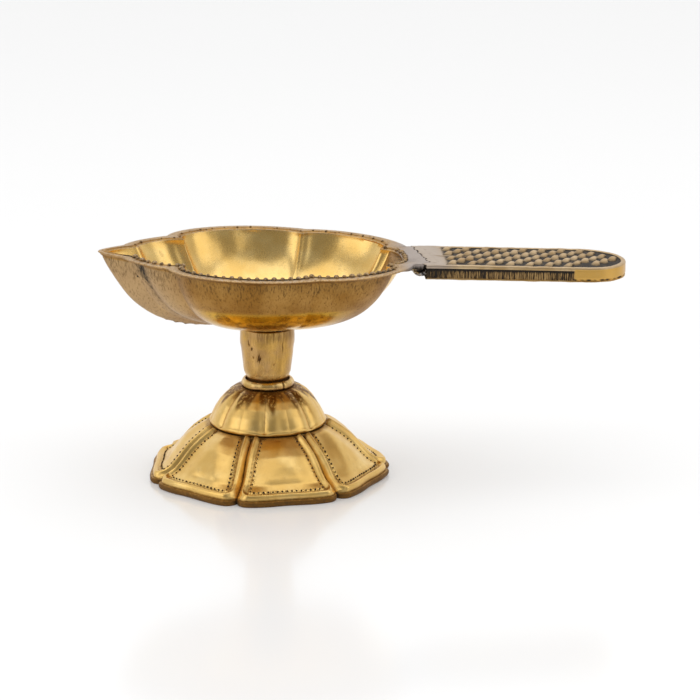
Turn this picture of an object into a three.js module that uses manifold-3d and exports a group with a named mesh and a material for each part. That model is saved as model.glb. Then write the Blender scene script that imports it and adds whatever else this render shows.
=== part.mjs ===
// A brass diya: a hand-held oil lamp with a lobed, spouted bowl on a small petalled pedestal.
// Millimetres, +Z up. The lamp stands on z = 0, its handle points along +X and its spout along -X.
// Everything is drawn about the stem's axis, and the whole group is then shifted so that the
// origin is at the bottom centre of the lamp's bounding box.
import * as THREE from "three";
import { mergeVertices } from "three/addons/utils/BufferGeometryUtils.js";
import Module from "manifold-3d";

const wasm = await Module();
wasm.setup();

// Clearances
const seatGap = 0.3; // between faces that rest on each other
const boreGap = 0.6; // radial, round the stud in the pieces it only passes through
const threadGap = 0.3; // radial, where the stud's thread is held

// Petal base, the lower tier of the pedestal
const petalCount = 7;
const sidesPerPetal = 14;
const petalTurn = -18; // degrees, the first groove counted from -Y towards +X
const baseRadius = 37.3; // at the corners of the petals
const baseHeight = 16.4;
const baseWall = 2.2;
const footLip = 2.4; // height of the upright edge round the foot
const grooveDepth = 1.1; // how far each groove between two petals cuts into the rim
const petalHollow = 0.7; // how far the middle of a petal's edge is drawn in
const grooveHalfAngle = 4.4; // degrees, from a groove to the corner of its petal

// Fluted dome, the upper tier
const domeRadius = 18.9;
const domeHeight = 11.7;
const domeWall = 1.8;
const fluteCount = 7;
const sidesPerFlute = 12;
const fluteTurn = -5.8; // degrees, the first main crease counted from -Y towards +X
const mainCrease = 0.9;
const minorCrease = 0.4;

// Stem and the collar that it stands in
const stemFootRadius = 6.45;
const stemFlare = 1.95; // how much wider the stem is at its top
const collarWidth = 1.55; // from the recess for the stem to the collar's outside
const collarCrest = 0.8; // how far in from that outside its highest line is
const collarHeight = 2.3;
const stemLength = 18.2;
const stemTuck = 1.5; // depth of the stem's foot inside the collar

// Screw that holds the lamp together
const studRadius = 3;
const studSocketDepth = 1.2; // in the pad under the bowl
const studSpare = 1.5; // thread showing past the nut
const nutAcrossFlats = 10;
const nutHeight = 5;
const washerRadius = 9;
const washerHeight = 1.6;

// Bowl
const spoutReach = 52.5; // stem axis to the tip of the spout
const rimHalfWidth = 39.2; // stem axis to the widest point of the rim
const bowlDepth = 23.2; // underside of the bowl to the top of the rim, at the stem's axis
const bowlWall = 1.5;
const bowlFloor = 1.8;
const flangeWidth = 4.2;
const flangeHeight = 1;
const notchInset = 2.6; // how much further in the cup's wall stands at a notch of the rim
const padRadius = 8.2; // pad under the bowl, which stands on the stem
const padHeight = 0.4;
const profilePower = 4; // the wall rises as this power of its distance from the axis
const rimFall = 0.031; // the rim and the handle drop by this share of their length, spout to handle

// Handle
const handleReach = 113; // stem axis to the end of the handle
const handleLength = 62.6;
const handleWidth = 26.3;
const handleHeight = 4.6;
const tangHeight = 2.2;
const tangNeckWidth = 23.6; // narrowest width, where the tang leaves the rim
const lipHeight = 1.2; // the top plate's edge, which overhangs the side wall
const sideRecess = 0.5;
const endBandLength = 18; // length of the smooth band round the end
const bumpPitch = 5.8; // grip bumps, along a row
const rowPitch = 3.5;
const bumpHeight = 1.1;
const bumpRoot = 0.3; // how deep each bump is rooted in the top plate
const bumpLength = 4.6;
const bumpWidth = 3.2;
const gripMargin = 2.6; // plain border round the bumps
const gripStart = 5.4; // plain strip before the first bump

// Braze under the joint of tang and handle
const brazeWidth = 15;
const brazeDrop = 2.6;
const brazeRun = 3;

// Radii and heights that follow from the sizes above
const stemTopRadius = stemFootRadius + stemFlare;
const collarRecess = stemFootRadius + seatGap;
const collarRadius = collarRecess + collarWidth;
const domeFoot = baseHeight + seatGap;
const domeTop = domeFoot + domeHeight;
const collarFoot = domeTop + seatGap;
const collarTop = collarFoot + collarHeight;
const stemFoot = collarTop - stemTuck;
const stemTop = stemFoot + stemLength;
const bowlFoot = stemTop + seatGap;
const rimTop = bowlFoot + bowlDepth;
const washerTop = baseHeight - baseWall - seatGap;
const nutTop = washerTop - washerHeight - seatGap;
const nutFoot = nutTop - nutHeight;
const studFoot = nutFoot - studSpare;
const studTop = bowlFoot + studSocketDepth - seatGap;
const clearBore = studRadius + boreGap;
const threadBore = studRadius + threadGap;
const handleStart = handleReach - handleLength;
const roundSides = 36;

// Joins rings of points into one closed surface. Each ring is a list of [x, y, z]. With loop set,
// the last ring is joined to the first; without it, the first and last rings are single points.
function surfaceOf(rings, loop) {
  const points = [];
  const starts = rings.map((ring) => {
    const start = points.length;
    ring.forEach((point) => points.push(new THREE.Vector3(...point)));
    return start;
  });
  const index = [];
  const count = rings[1].length;
  const last = loop ? rings.length : rings.length - 1;
  for (let k = 0; k < last; k++) {
    const next = (k + 1) % rings.length;
    for (let i = 0; i < count; i++) {
      const j = (i + 1) % count;
      if (rings[k].length === 1) {
        index.push(starts[k], starts[next] + j, starts[next] + i);
      } else if (rings[next].length === 1) {
        index.push(starts[k] + i, starts[k] + j, starts[next]);
      } else {
        index.push(starts[k] + i, starts[k] + j, starts[next] + j);
        index.push(starts[k] + i, starts[next] + j, starts[next] + i);
      }
    }
  }
  const geometry = new THREE.BufferGeometry().setFromPoints(points);
  return geometry.setIndex(index);
}

// Solid of a closed geometry, for joining and cutting.
function solidOf(geometry) {
  const bare = geometry.clone();
  bare.deleteAttribute("normal");
  bare.deleteAttribute("uv");
  const merged = mergeVertices(bare, 1e-4);
  return new wasm.Manifold(
    new wasm.Mesh({
      numProp: 3,
      vertProperties: new Float32Array(merged.attributes.position.array),
      triVerts: new Uint32Array(merged.index.array),
    }),
  );
}

function geometryOf(solid) {
  const mesh = solid.getMesh();
  const geometry = new THREE.BufferGeometry();
  geometry.setAttribute("position", new THREE.BufferAttribute(mesh.vertProperties, 3));
  return geometry.setIndex(new THREE.BufferAttribute(mesh.triVerts, 1));
}

// A turned ring: its section is a closed list of [radius, z].
function turned(section, sides = roundSides) {
  const points = [...section, section[0]].map(([r, z]) => new THREE.Vector2(r, z));
  return new THREE.LatheGeometry(points, sides).rotateX(Math.PI / 2);
}

// Upright round bar from z = low to z = high.
function bar(radius, low, high, sides = roundSides) {
  const geometry = new THREE.CylinderGeometry(radius, radius, high - low, sides);
  return geometry.rotateX(Math.PI / 2).translate(0, 0, (low + high) / 2);
}

// Flat outline extruded upwards from z = low to z = high.
function plate(shape, low, high, curveSegments = 20) {
  const options = { depth: high - low, bevelEnabled: false, curveSegments };
  return new THREE.ExtrudeGeometry(shape, options).translate(0, 0, low);
}

// Lets the rim, its tang and the handle fall from the spout's tip to the handle's end.
function sloped(geometry) {
  const position = geometry.attributes.position;
  for (let i = 0; i < position.count; i++) {
    position.setZ(i, position.getZ(i) - rimFall * position.getX(i));
  }
  return geometry;
}

// 1 on a groove, falling to 0 at reach degrees from it.
function nearGroove(degrees, count, turn, reach) {
  const pitch = 360 / count;
  const away = Math.abs(THREE.MathUtils.euclideanModulo(degrees - turn + pitch / 2, pitch) - pitch / 2);
  return Math.max(0, 1 - away / reach);
}

// Rings of a hollow tier with a bore through its crown. The section runs from the bore down to
// the foot outside, and back up to the bore inside. shapeAt(degrees, radius) gives the radius once
// the grooves are cut in.
function tierRings(section, shapeAt, sides) {
  return [...section].reverse().map(([radius, z]) => {
    const ring = [];
    for (let i = 0; i < sides; i++) {
      const degrees = (i * 360) / sides;
      const angle = THREE.MathUtils.degToRad(degrees - 90);
      const r = shapeAt(degrees, radius);
      ring.push([r * Math.cos(angle), r * Math.sin(angle), z]);
    }
    return ring;
  });
}

function petalBase() {
  const shoulder = domeRadius - 0.9;
  const run = baseRadius - shoulder;
  const outer = [
    [clearBore, baseHeight],
    [shoulder, baseHeight],
    [shoulder + run * 0.33, baseHeight * 0.89],
    [shoulder + run * 0.53, baseHeight * 0.65],
    [shoulder + run * 0.64, baseHeight * 0.44],
    [shoulder + run * 0.76, baseHeight * 0.3],
    [shoulder + run * 0.9, footLip + 1.1],
    [baseRadius, footLip],
    [baseRadius, 0],
  ];
  const inner = [
    [baseRadius - baseWall, 0],
    [shoulder + run * 0.84, footLip * 0.9],
    [shoulder + run * 0.64, footLip * 1.3],
    [shoulder + run * 0.5, baseHeight * 0.36],
    [shoulder + run * 0.38, baseHeight * 0.58],
    [shoulder + run * 0.2, baseHeight * 0.76],
    [shoulder - baseWall, baseHeight - baseWall],
    [clearBore, baseHeight - baseWall],
  ];
  const shapeAt = (degrees, radius) => {
    const share = Math.max(0, (radius - shoulder) / run);
    const groove = grooveDepth * nearGroove(degrees, petalCount, petalTurn, grooveHalfAngle);
    const corner = nearGroove(degrees, petalCount, petalTurn, 180 / petalCount);
    const hollow = petalHollow * Math.sin((Math.PI / 2) * (1 - corner)) ** 2;
    return radius - share * (groove + hollow);
  };
  const rings = tierRings([...outer, ...inner], shapeAt, petalCount * sidesPerPetal);
  return surfaceOf(rings, true);
}

function flutedDome() {
  const seat = collarRadius + 0.4;
  const rise = domeHeight;
  const outer = [
    [clearBore, domeTop],
    [seat, domeTop],
    [domeRadius * 0.7, domeFoot + rise * 0.79],
    [domeRadius * 0.82, domeFoot + rise * 0.59],
    [domeRadius * 0.9, domeFoot + rise * 0.36],
    [domeRadius * 0.96, domeFoot + rise * 0.13],
    [domeRadius, domeFoot],
  ];
  const inner = [
    [domeRadius - domeWall, domeFoot],
    [domeRadius * 0.96 - domeWall, domeFoot + rise * 0.11],
    [domeRadius * 0.9 - domeWall, domeFoot + rise * 0.31],
    [domeRadius * 0.82 - domeWall, domeFoot + rise * 0.5],
    [domeRadius * 0.7 - domeWall, domeFoot + rise * 0.66],
    [seat - domeWall, domeTop - domeWall],
    [clearBore, domeTop - domeWall],
  ];
  const halfPitch = 180 / fluteCount;
  const shapeAt = (degrees, radius) => {
    const share = Math.max(0, (radius - seat) / (domeRadius - seat));
    const main = mainCrease * nearGroove(degrees, fluteCount, fluteTurn, halfPitch / 2);
    const minor = minorCrease * nearGroove(degrees, fluteCount, fluteTurn + halfPitch, halfPitch / 2);
    return radius - share * (main + minor);
  };
  const rings = tierRings([...outer, ...inner], shapeAt, fluteCount * sidesPerFlute);
  return surfaceOf(rings, true);
}

function stemCollar() {
  const floor = stemFoot - seatGap;
  return turned([
    [clearBore, collarFoot],
    [collarRadius - 0.3, collarFoot],
    [collarRadius, collarFoot + 0.6],
    [collarRadius - 0.15, collarFoot + 1.3],
    [collarRadius - collarCrest, collarTop],
    [collarRecess, collarTop - 0.3],
    [collarRecess, floor],
    [clearBore, floor],
  ]);
}

function stem() {
  const flare = stemFlare;
  const shown = stemLength - stemTuck;
  const shoulderAt = (share) => stemFoot + stemTuck + shown * share;
  return turned([
    [clearBore, stemFoot],
    [stemFootRadius - 0.5, stemFoot],
    [stemFootRadius, shoulderAt(0)],
    [stemFootRadius + flare * 0.44, shoulderAt(0.16)],
    [stemFootRadius + flare * 0.62, shoulderAt(0.31)],
    [stemFootRadius + flare * 0.85, shoulderAt(0.67)],
    [stemTopRadius, stemTop],
    [clearBore, stemTop],
  ]);
}

// One half of the rim, from the spout's tip to the handle, as three lobes and half of a fourth.
function rimLobes() {
  const w = rimHalfWidth;
  const tip = [-spoutReach, 0];
  const first = [-0.59 * spoutReach, 0.566 * w];
  const second = [14.5, 0.89 * w];
  const neck = [handleStart - 5.2, tangNeckWidth / 2];
  const back = [handleStart - 3.8, 0];
  return [
    { from: tip, out: [-0.8 * spoutReach, 0.32 * w], in: [-0.7 * spoutReach, 0.5 * w], to: first, steps: 8 },
    { from: first, out: [-0.49 * spoutReach, 0.96 * w], in: [-1, 1.09 * w], to: second, steps: 14 },
    { from: second, out: [26, 0.9 * w], in: [handleStart - 7, 0.65 * w], to: neck, steps: 10 },
    { from: neck, out: [neck[0] + 1, 0.6 * neck[1]], in: [back[0], 0.3 * neck[1]], to: back, steps: 5 },
  ];
}

// Points all round the rim's edge, with how near each is to a notch between two lobes.
function rimOutline() {
  const half = [];
  rimLobes().forEach((lobe, k) => {
    const ends = [lobe.from, lobe.out, lobe.in, lobe.to];
    const curve = new THREE.CubicBezierCurve(...ends.map((p) => new THREE.Vector2(...p)));
    for (let i = 0; i < lobe.steps; i++) {
      const t = i / lobe.steps;
      const point = curve.getPoint(t);
      const startNotch = k === 0 ? 0 : (1 - t) ** 6;
      const endNotch = k === 3 ? 0 : t ** 6;
      half.push({ x: point.x, y: point.y, notch: startNotch + endNotch });
    }
  });
  const lastPoint = { x: rimLobes()[3].to[0], y: 0, notch: 0 };
  const mirrored = half.slice(1).map((p) => ({ ...p, y: -p.y }));
  return [...half, lastPoint, ...mirrored.reverse()].reverse();
}

function cupRing(outline, share, extra, z) {
  return outline.map(({ x, y, notch }) => {
    const reach = Math.hypot(x, y);
    const fade = share ** 2;
    const radius = share * (reach - flangeWidth - notchInset * notch * fade) + extra;
    return [(x / reach) * radius, (y / reach) * radius, z];
  });
}

function bowlShell() {
  const outline = rimOutline();
  const shares = [0.2, 0.36, 0.5, 0.62, 0.72, 0.81, 0.88, 0.94, 1];
  const wallTop = rimTop - flangeHeight;
  const outsideFoot = bowlFoot + padHeight;
  const insideFoot = outsideFoot + bowlFloor;
  const rings = [[[0, 0, outsideFoot]]];
  for (const share of shares) {
    const z = outsideFoot + (wallTop - outsideFoot) * share ** profilePower;
    rings.push(cupRing(outline, share, bowlWall * share, z));
  }
  rings.push(outline.map(({ x, y }) => [x, y, wallTop]));
  rings.push(outline.map(({ x, y }) => [x, y, rimTop]));
  for (const share of [...shares].reverse()) {
    const z = insideFoot + (rimTop - insideFoot) * share ** profilePower;
    rings.push(cupRing(outline, share, 0, z));
  }
  rings.push([[0, 0, insideFoot]]);
  return surfaceOf(rings, false);
}

function tangShape() {
  const root = handleStart - 6;
  const end = handleStart - seatGap;
  const shape = new THREE.Shape();
  shape.moveTo(root, -tangNeckWidth / 2);
  shape.lineTo(root + 1.5, -tangNeckWidth / 2);
  shape.quadraticCurveTo(end - 2, -tangNeckWidth / 2, end, -handleWidth / 2);
  shape.lineTo(end, handleWidth / 2);
  shape.quadraticCurveTo(end - 2, tangNeckWidth / 2, root + 1.5, tangNeckWidth / 2);
  shape.lineTo(root, tangNeckWidth / 2);
  return shape;
}

function oilBowl() {
  const tang = plate(tangShape(), rimTop - tangHeight, rimTop, 6);
  const lamp = solidOf(sloped(bowlShell())).add(solidOf(sloped(tang)));
  const pad = bar(padRadius, bowlFoot, bowlFoot + padHeight + bowlFloor / 2);
  const socket = bar(threadBore, bowlFoot - 1, bowlFoot + studSocketDepth);
  return geometryOf(lamp.add(solidOf(pad)).subtract(solidOf(socket)));
}

// The handle's outline, drawn in by inset along its sides up to its round end.
function handleShape(inset) {
  const half = handleWidth / 2;
  const centre = handleReach - half;
  const bandStart = handleReach - endBandLength;
  const shape = new THREE.Shape();
  shape.moveTo(handleStart, -half + inset);
  if (inset > 0) {
    shape.lineTo(bandStart, -half + inset);
    shape.lineTo(bandStart, -half);
  }
  shape.lineTo(centre, -half);
  shape.absarc(centre, 0, half, -Math.PI / 2, Math.PI / 2, false);
  if (inset > 0) {
    shape.lineTo(bandStart, half);
    shape.lineTo(bandStart, half - inset);
  }
  shape.lineTo(handleStart, half - inset);
  return shape;
}

// Places of the grip's bumps: rows along the handle, every second one half a pitch along.
function bumpPlaces() {
  const half = handleWidth / 2;
  const roundCentre = handleReach - half;
  const places = [];
  const rows = Math.floor((half - gripMargin) / rowPitch);
  for (let row = -rows; row <= rows; row++) {
    const y = row * rowPitch;
    const shift = row % 2 === 0 ? 0 : bumpPitch / 2;
    const first = handleStart + gripStart + bumpLength / 2 + shift;
    for (let x = first; x < handleReach; x += bumpPitch) {
      const beyond = Math.max(0, x + bumpLength / 3 - roundCentre);
      if (Math.hypot(beyond, y) < half - gripMargin) places.push([x, y]);
    }
  }
  return places;
}

function bump(x, y) {
  const pyramid = new THREE.ConeGeometry(0.5, 1, 4);
  pyramid.rotateX(Math.PI / 2);
  pyramid.scale(bumpLength, bumpWidth, bumpHeight + bumpRoot);
  return pyramid.translate(x, y, rimTop + (bumpHeight - bumpRoot) / 2);
}

function handle() {
  const top = solidOf(sloped(plate(handleShape(0), rimTop - lipHeight, rimTop)));
  const body = plate(handleShape(sideRecess), rimTop - handleHeight, rimTop - lipHeight / 2);
  let grip = top.add(solidOf(sloped(body)));
  for (const [x, y] of bumpPlaces()) grip = grip.add(solidOf(sloped(bump(x, y))));
  return geometryOf(grip);
}

function handleBraze() {
  const corner = new THREE.Shape();
  const right = handleStart - seatGap;
  const top = rimTop - tangHeight - seatGap;
  corner.moveTo(right, top);
  corner.lineTo(right - brazeRun, top);
  corner.quadraticCurveTo(right - brazeRun * 0.3, top - brazeDrop * 0.35, right, top - brazeDrop);
  const bead = new THREE.ExtrudeGeometry(corner, { depth: brazeWidth, bevelEnabled: false, curveSegments: 6 });
  return sloped(bead.rotateX(Math.PI / 2).translate(0, brazeWidth / 2, 0));
}

function centreStud() {
  const chamfer = 0.6;
  const points = [
    [0, studFoot],
    [studRadius - chamfer, studFoot],
    [studRadius, studFoot + chamfer],
    [studRadius, studTop],
    [0, studTop],
  ].map(([r, z]) => new THREE.Vector2(r, z));
  return new THREE.LatheGeometry(points, roundSides).rotateX(Math.PI / 2);
}

function clampWasher() {
  return turned([
    [threadBore, washerTop - washerHeight],
    [washerRadius, washerTop - washerHeight],
    [washerRadius, washerTop],
    [threadBore, washerTop],
  ]);
}

function hexNut() {
  const corner = nutAcrossFlats / Math.sqrt(3);
  const shape = new THREE.Shape();
  for (let i = 0; i < 6; i++) {
    const angle = (i * Math.PI) / 3;
    const point = [corner * Math.cos(angle), corner * Math.sin(angle)];
    if (i === 0) shape.moveTo(...point);
    else shape.lineTo(...point);
  }
  shape.closePath();
  shape.holes.push(new THREE.Path().absarc(0, 0, threadBore, 0, 2 * Math.PI, true));
  return plate(shape, nutFoot, nutTop, 12);
}

const brass = (color, roughness) => new THREE.MeshStandardMaterial({ color, roughness, metalness: 1 });
const steel = new THREE.MeshStandardMaterial({ color: 0x9a9690, roughness: 0.4, metalness: 1 });
const solder = new THREE.MeshStandardMaterial({ color: 0xa9a49b, roughness: 0.5, metalness: 1 });

const pieces = [
  ["petal_base", petalBase(), brass(0xb98a45, 0.3)],
  ["fluted_dome", flutedDome(), brass(0xb98a45, 0.3)],
  ["stem_collar", stemCollar(), brass(0xa87a3c, 0.35)],
  ["stem", stem(), brass(0xa67b46, 0.4)],
  ["oil_bowl", oilBowl(), brass(0xc09a58, 0.3)],
  ["handle", handle(), brass(0xb08d58, 0.45)],
  ["handle_braze", handleBraze(), solder],
  ["centre_stud", centreStud(), steel],
  ["clamp_washer", clampWasher(), steel],
  ["hex_nut", hexNut(), steel],
];

const lamp = new THREE.Group();
for (const [name, geometry, material] of pieces) {
  const mesh = new THREE.Mesh(geometry, material);
  mesh.name = name;
  lamp.add(mesh);
}
lamp.position.x = (spoutReach - handleReach) / 2;

const part = new THREE.Group();
part.add(lamp);

export default part;
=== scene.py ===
import math

import bmesh
import bpy
import numpy as np
from mathutils import Matrix, Vector


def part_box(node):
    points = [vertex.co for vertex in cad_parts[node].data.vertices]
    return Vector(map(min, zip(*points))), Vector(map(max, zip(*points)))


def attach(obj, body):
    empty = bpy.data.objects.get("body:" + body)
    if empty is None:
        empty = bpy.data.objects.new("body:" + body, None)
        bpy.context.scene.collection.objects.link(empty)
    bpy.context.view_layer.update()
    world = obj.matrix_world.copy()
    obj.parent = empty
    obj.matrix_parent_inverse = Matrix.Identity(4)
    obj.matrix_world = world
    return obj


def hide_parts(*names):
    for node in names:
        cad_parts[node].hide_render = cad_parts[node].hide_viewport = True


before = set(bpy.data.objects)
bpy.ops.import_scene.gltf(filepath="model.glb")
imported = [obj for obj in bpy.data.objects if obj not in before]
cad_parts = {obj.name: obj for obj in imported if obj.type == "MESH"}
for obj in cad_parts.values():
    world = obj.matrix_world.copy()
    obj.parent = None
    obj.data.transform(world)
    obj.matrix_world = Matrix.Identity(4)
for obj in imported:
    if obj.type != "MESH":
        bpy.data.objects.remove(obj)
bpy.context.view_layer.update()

# A brass oil lamp on a petalled foot. Shapes are worked out in millimetres about the stem's
# upright axis, spout towards -X, and moved to their place, in metres, as each is made.
mm = 0.001
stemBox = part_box("stem")
axisX = (stemBox[0].x + stemBox[1].x) / 2


# The lowest and highest corner of a frame node, in millimetres about the stem's axis
def boxOf(node):
    low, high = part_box(node)
    shift = np.array([axisX, 0, 0])
    return (np.array(low) - shift) / mm, (np.array(high) - shift) / mm


bowlLow, bowlHigh = boxOf("oil_bowl")
handleLow, handleHigh = boxOf("handle")
footLow, footHigh = boxOf("petal_base")
domeLow, domeHigh = boxOf("fluted_dome")
collarLow, collarHigh = boxOf("stem_collar")
stemLow, stemHigh = boxOf("stem")

footRadius = (footHigh[1] - footLow[1]) / 1.93  # its corners stand out past its widest points
spoutReach = -bowlLow[0]
rimHalfWidth = bowlHigh[1] * 1.018  # the outline reaches its widest a little inside its curve points
rimFall = 0.031  # the rim and the handle drop by this share of their length
rimTop = bowlHigh[2] - rimFall * spoutReach  # at the stem's axis
clearBore = 3.65  # radius of the hole in each piece that the stud passes through


# ---- small sums


def smoothStep(low, high, x):
    t = np.clip((np.asarray(x, float) - low) / (high - low), 0, 1)
    return t * t * (3 - 2 * t)


def bellAt(x, centre, width):
    return np.exp(-(((np.asarray(x, float) - centre) / width) ** 2))


# Smooth unevenness of a hand-finished casting: a few seeded waves, about -1 to 1
def unevenness(points, waveLength, seed, waves=9):
    rng = np.random.default_rng(seed)
    directions = rng.normal(size=(waves, 3))
    directions /= np.linalg.norm(directions, axis=1)[:, None]
    lengths = waveLength * rng.uniform(0.6, 1.7, waves)
    phases = rng.uniform(0, 2 * math.pi, waves)
    flat = np.asarray(points, float).reshape(-1, 3)
    total = np.zeros(len(flat))
    for direction, length, phase in zip(directions, lengths, phases):
        total += np.sin(flat @ direction * (2 * math.pi / length) + phase)
    return (total / math.sqrt(waves)).reshape(np.shape(points)[:-1])


def bezier(start, out, into, end, count):
    t = np.linspace(0, 1, count, endpoint=False)[:, None]
    a, b, c, d = (np.asarray(p, float) for p in (start, out, into, end))
    return (1 - t) ** 3 * a + 3 * (1 - t) ** 2 * t * b + 3 * (1 - t) * t**2 * c + t**3 * d


# Points a step apart along a line through the corners, rounded off over the softness
def softLine(corners, step, softness=0.4, closed=False):
    pts = np.asarray(corners, float)
    if closed:
        pts = np.vstack([pts, pts[:1]])
    along = np.concatenate([[0], np.cumsum(np.linalg.norm(np.diff(pts, axis=0), axis=1))])
    at = np.linspace(0, along[-1], max(8, round(along[-1] / step)))
    line = np.stack([np.interp(at, along, pts[:, k]) for k in range(pts.shape[1])], axis=1)
    half = max(1, round(softness / step))
    kernel = np.hanning(2 * half + 3)[1:-1]
    kernel /= kernel.sum()
    if closed:
        line = line[:-1]
        padded = np.vstack([line[-half:], line, line[:half]])
    else:
        before = 2 * line[0] - line[1 : half + 1][::-1]
        after = 2 * line[-1] - line[-half - 1 : -1][::-1]
        padded = np.vstack([before, line, after])
    return np.stack([np.convolve(padded[:, k], kernel, "valid") for k in range(line.shape[1])], 1)


# Angles round the axis, crowded where the density asks for it
def crowdedAngles(density, count):
    fine = np.linspace(0, 2 * math.pi, 7200, endpoint=False)
    total = np.concatenate([[0], np.cumsum(density(fine))])
    at = np.linspace(0, total[-1], count, endpoint=False)
    return np.interp(at, total, np.append(fine, 2 * math.pi))


# ---- meshes


def newObject(name, mesh):
    obj = bpy.data.objects.new(name, mesh)
    bpy.context.scene.collection.objects.link(obj)
    return obj


def finishMesh(mesh, sharpAngle):
    bm = bmesh.new()
    bm.from_mesh(mesh)
    bmesh.ops.recalc_face_normals(bm, faces=bm.faces)
    if bm.calc_volume(signed=True) < 0:
        bmesh.ops.reverse_faces(bm, faces=bm.faces)
    bm.to_mesh(mesh)
    bm.free()
    mesh.polygons.foreach_set("use_smooth", [True] * len(mesh.polygons))
    mesh.set_sharp_from_angle(angle=math.radians(sharpAngle))


# One closed skin over rows of points. Each row goes round the piece, and the ends are closed by
# a pole each, by a flat face each, or by joining the last row to the first.
def skinOver(name, material, grid, ends="flat", poles=(), masks=None, sharpAngle=50):
    rows, cols = grid.shape[:2]
    points = np.asarray(grid, float).reshape(-1, 3)
    index = np.arange(rows * cols).reshape(rows, cols)
    lower, upper = (index, np.roll(index, -1, 0)) if ends == "joined" else (index[:-1], index[1:])
    corners = [lower, np.roll(lower, -1, 1), np.roll(upper, -1, 1), upper]
    faces = np.stack(corners, -1).reshape(-1, 4).tolist()
    if ends == "flat":
        faces += [index[0][::-1].tolist(), index[-1].tolist()]
    if ends == "poles":
        points = np.vstack([points, poles])
        for row, pole in ((index[0], rows * cols), (index[-1], rows * cols + 1)):
            faces += [[pole, int(a), int(b)] for a, b in zip(row, np.roll(row, -1))]
    mesh = bpy.data.meshes.new(name)
    mesh.from_pydata((points * mm + [axisX, 0, 0]).tolist(), [], faces)
    finishMesh(mesh, sharpAngle)
    for mask, values in (masks or {}).items():
        values = np.broadcast_to(values, (rows, cols)).astype(np.float32)
        tail = [values[0].mean(), values[-1].mean()] if ends == "poles" else []
        attribute = mesh.attributes.new(mask, "FLOAT", "POINT")
        attribute.data.foreach_set("value", np.append(values.ravel(), tail).astype(np.float32))
    mesh.materials.append(material)
    return newObject(name, mesh)


# Rows of points of a turned shape, from a section of (radius, height)
def turnedGrid(section, angles):
    section = np.asarray(section, float)
    grid = np.zeros((len(section), len(angles), 3))
    grid[..., 0] = section[:, :1] * np.sin(angles)
    grid[..., 1] = -section[:, :1] * np.cos(angles)
    grid[..., 2] = section[:, 1:]
    return grid


# Which way a section's line faces, as (outwards, upwards)
def sectionNormals(section, closed=False):
    if closed:
        along = np.roll(section, -1, 0) - np.roll(section, 1, 0)
    else:
        along = np.gradient(section, axis=0)
    along /= np.linalg.norm(along, axis=1)[:, None]
    return np.stack([along[:, 1], -along[:, 0]], 1)


def pushOut(grid, normals, angles, height):
    grid[..., 0] += height * normals[:, :1] * np.sin(angles)
    grid[..., 1] -= height * normals[:, :1] * np.cos(angles)
    grid[..., 2] += height * normals[:, 1:]


# ---- Geometry Nodes


# A Geometry Nodes tree with named inputs
class Recipe:
    def __init__(self, name, inputs):
        self.tree = bpy.data.node_groups.new(name, "GeometryNodeTree")
        sockets = self.tree.interface
        sockets.new_socket("Geometry", in_out="INPUT", socket_type="NodeSocketGeometry")
        self.names = {}
        for label, kind in inputs.items():
            made = sockets.new_socket(label, in_out="INPUT", socket_type="NodeSocket" + kind)
            self.names[label] = made.identifier
        sockets.new_socket("Geometry", in_out="OUTPUT", socket_type="NodeSocketGeometry")
        self.start = self.tree.nodes.new("NodeGroupInput")

    def given(self, label="Geometry"):
        return self.start.outputs[label]

    def node(self, kind, settings=None, inputs=None, out=0):
        made = self.tree.nodes.new(kind)
        for key, value in (settings or {}).items():
            setattr(made, key, value)
        for key, value in (inputs or {}).items():
            if isinstance(value, bpy.types.NodeSocket):
                self.tree.links.new(value, made.inputs[key])
            else:
                made.inputs[key].default_value = value
        return made.outputs[out]

    def maths(self, operation, first, second):
        return self.node("ShaderNodeMath", {"operation": operation}, {0: first, 1: second})

    # A random number for each point
    def between(self, low, high):
        inputs = {2: low, 3: high, "Seed": self.given("Seed")}
        return self.node("FunctionNodeRandomValue", {"data_type": "FLOAT"}, inputs, out=1)

    # A random share of full size for each point
    def unevenSize(self):
        return self.between(self.maths("SUBTRACT", 1.0, self.given("Unevenness")), 1.0)

    def finish(self, geometry):
        whole = self.node("GeometryNodeRealizeInstances", None, {"Geometry": geometry})
        smooth = self.node("GeometryNodeSetShadeSmooth", None, {"Geometry": whole})
        coat = {"Geometry": smooth, "Material": self.given("Material")}
        painted = self.node("GeometryNodeSetMaterial", None, coat)
        end = self.tree.nodes.new("NodeGroupOutput")
        self.tree.links.new(painted, end.inputs["Geometry"])

    # Runs the tree on a mesh and gives the result as a plain object
    def make(self, name, source, values):
        carrier = newObject(name + "Source", source)
        modifier = carrier.modifiers.new(name, "NODES")
        modifier.node_group = self.tree
        for label, value in values.items():
            modifier[self.names[label]] = value
        evaluated = carrier.evaluated_get(bpy.context.evaluated_depsgraph_get())
        mesh = bpy.data.meshes.new_from_object(evaluated)
        carrier.modifiers.remove(modifier)
        bpy.data.objects.remove(carrier)
        return newObject(name, mesh)


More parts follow.
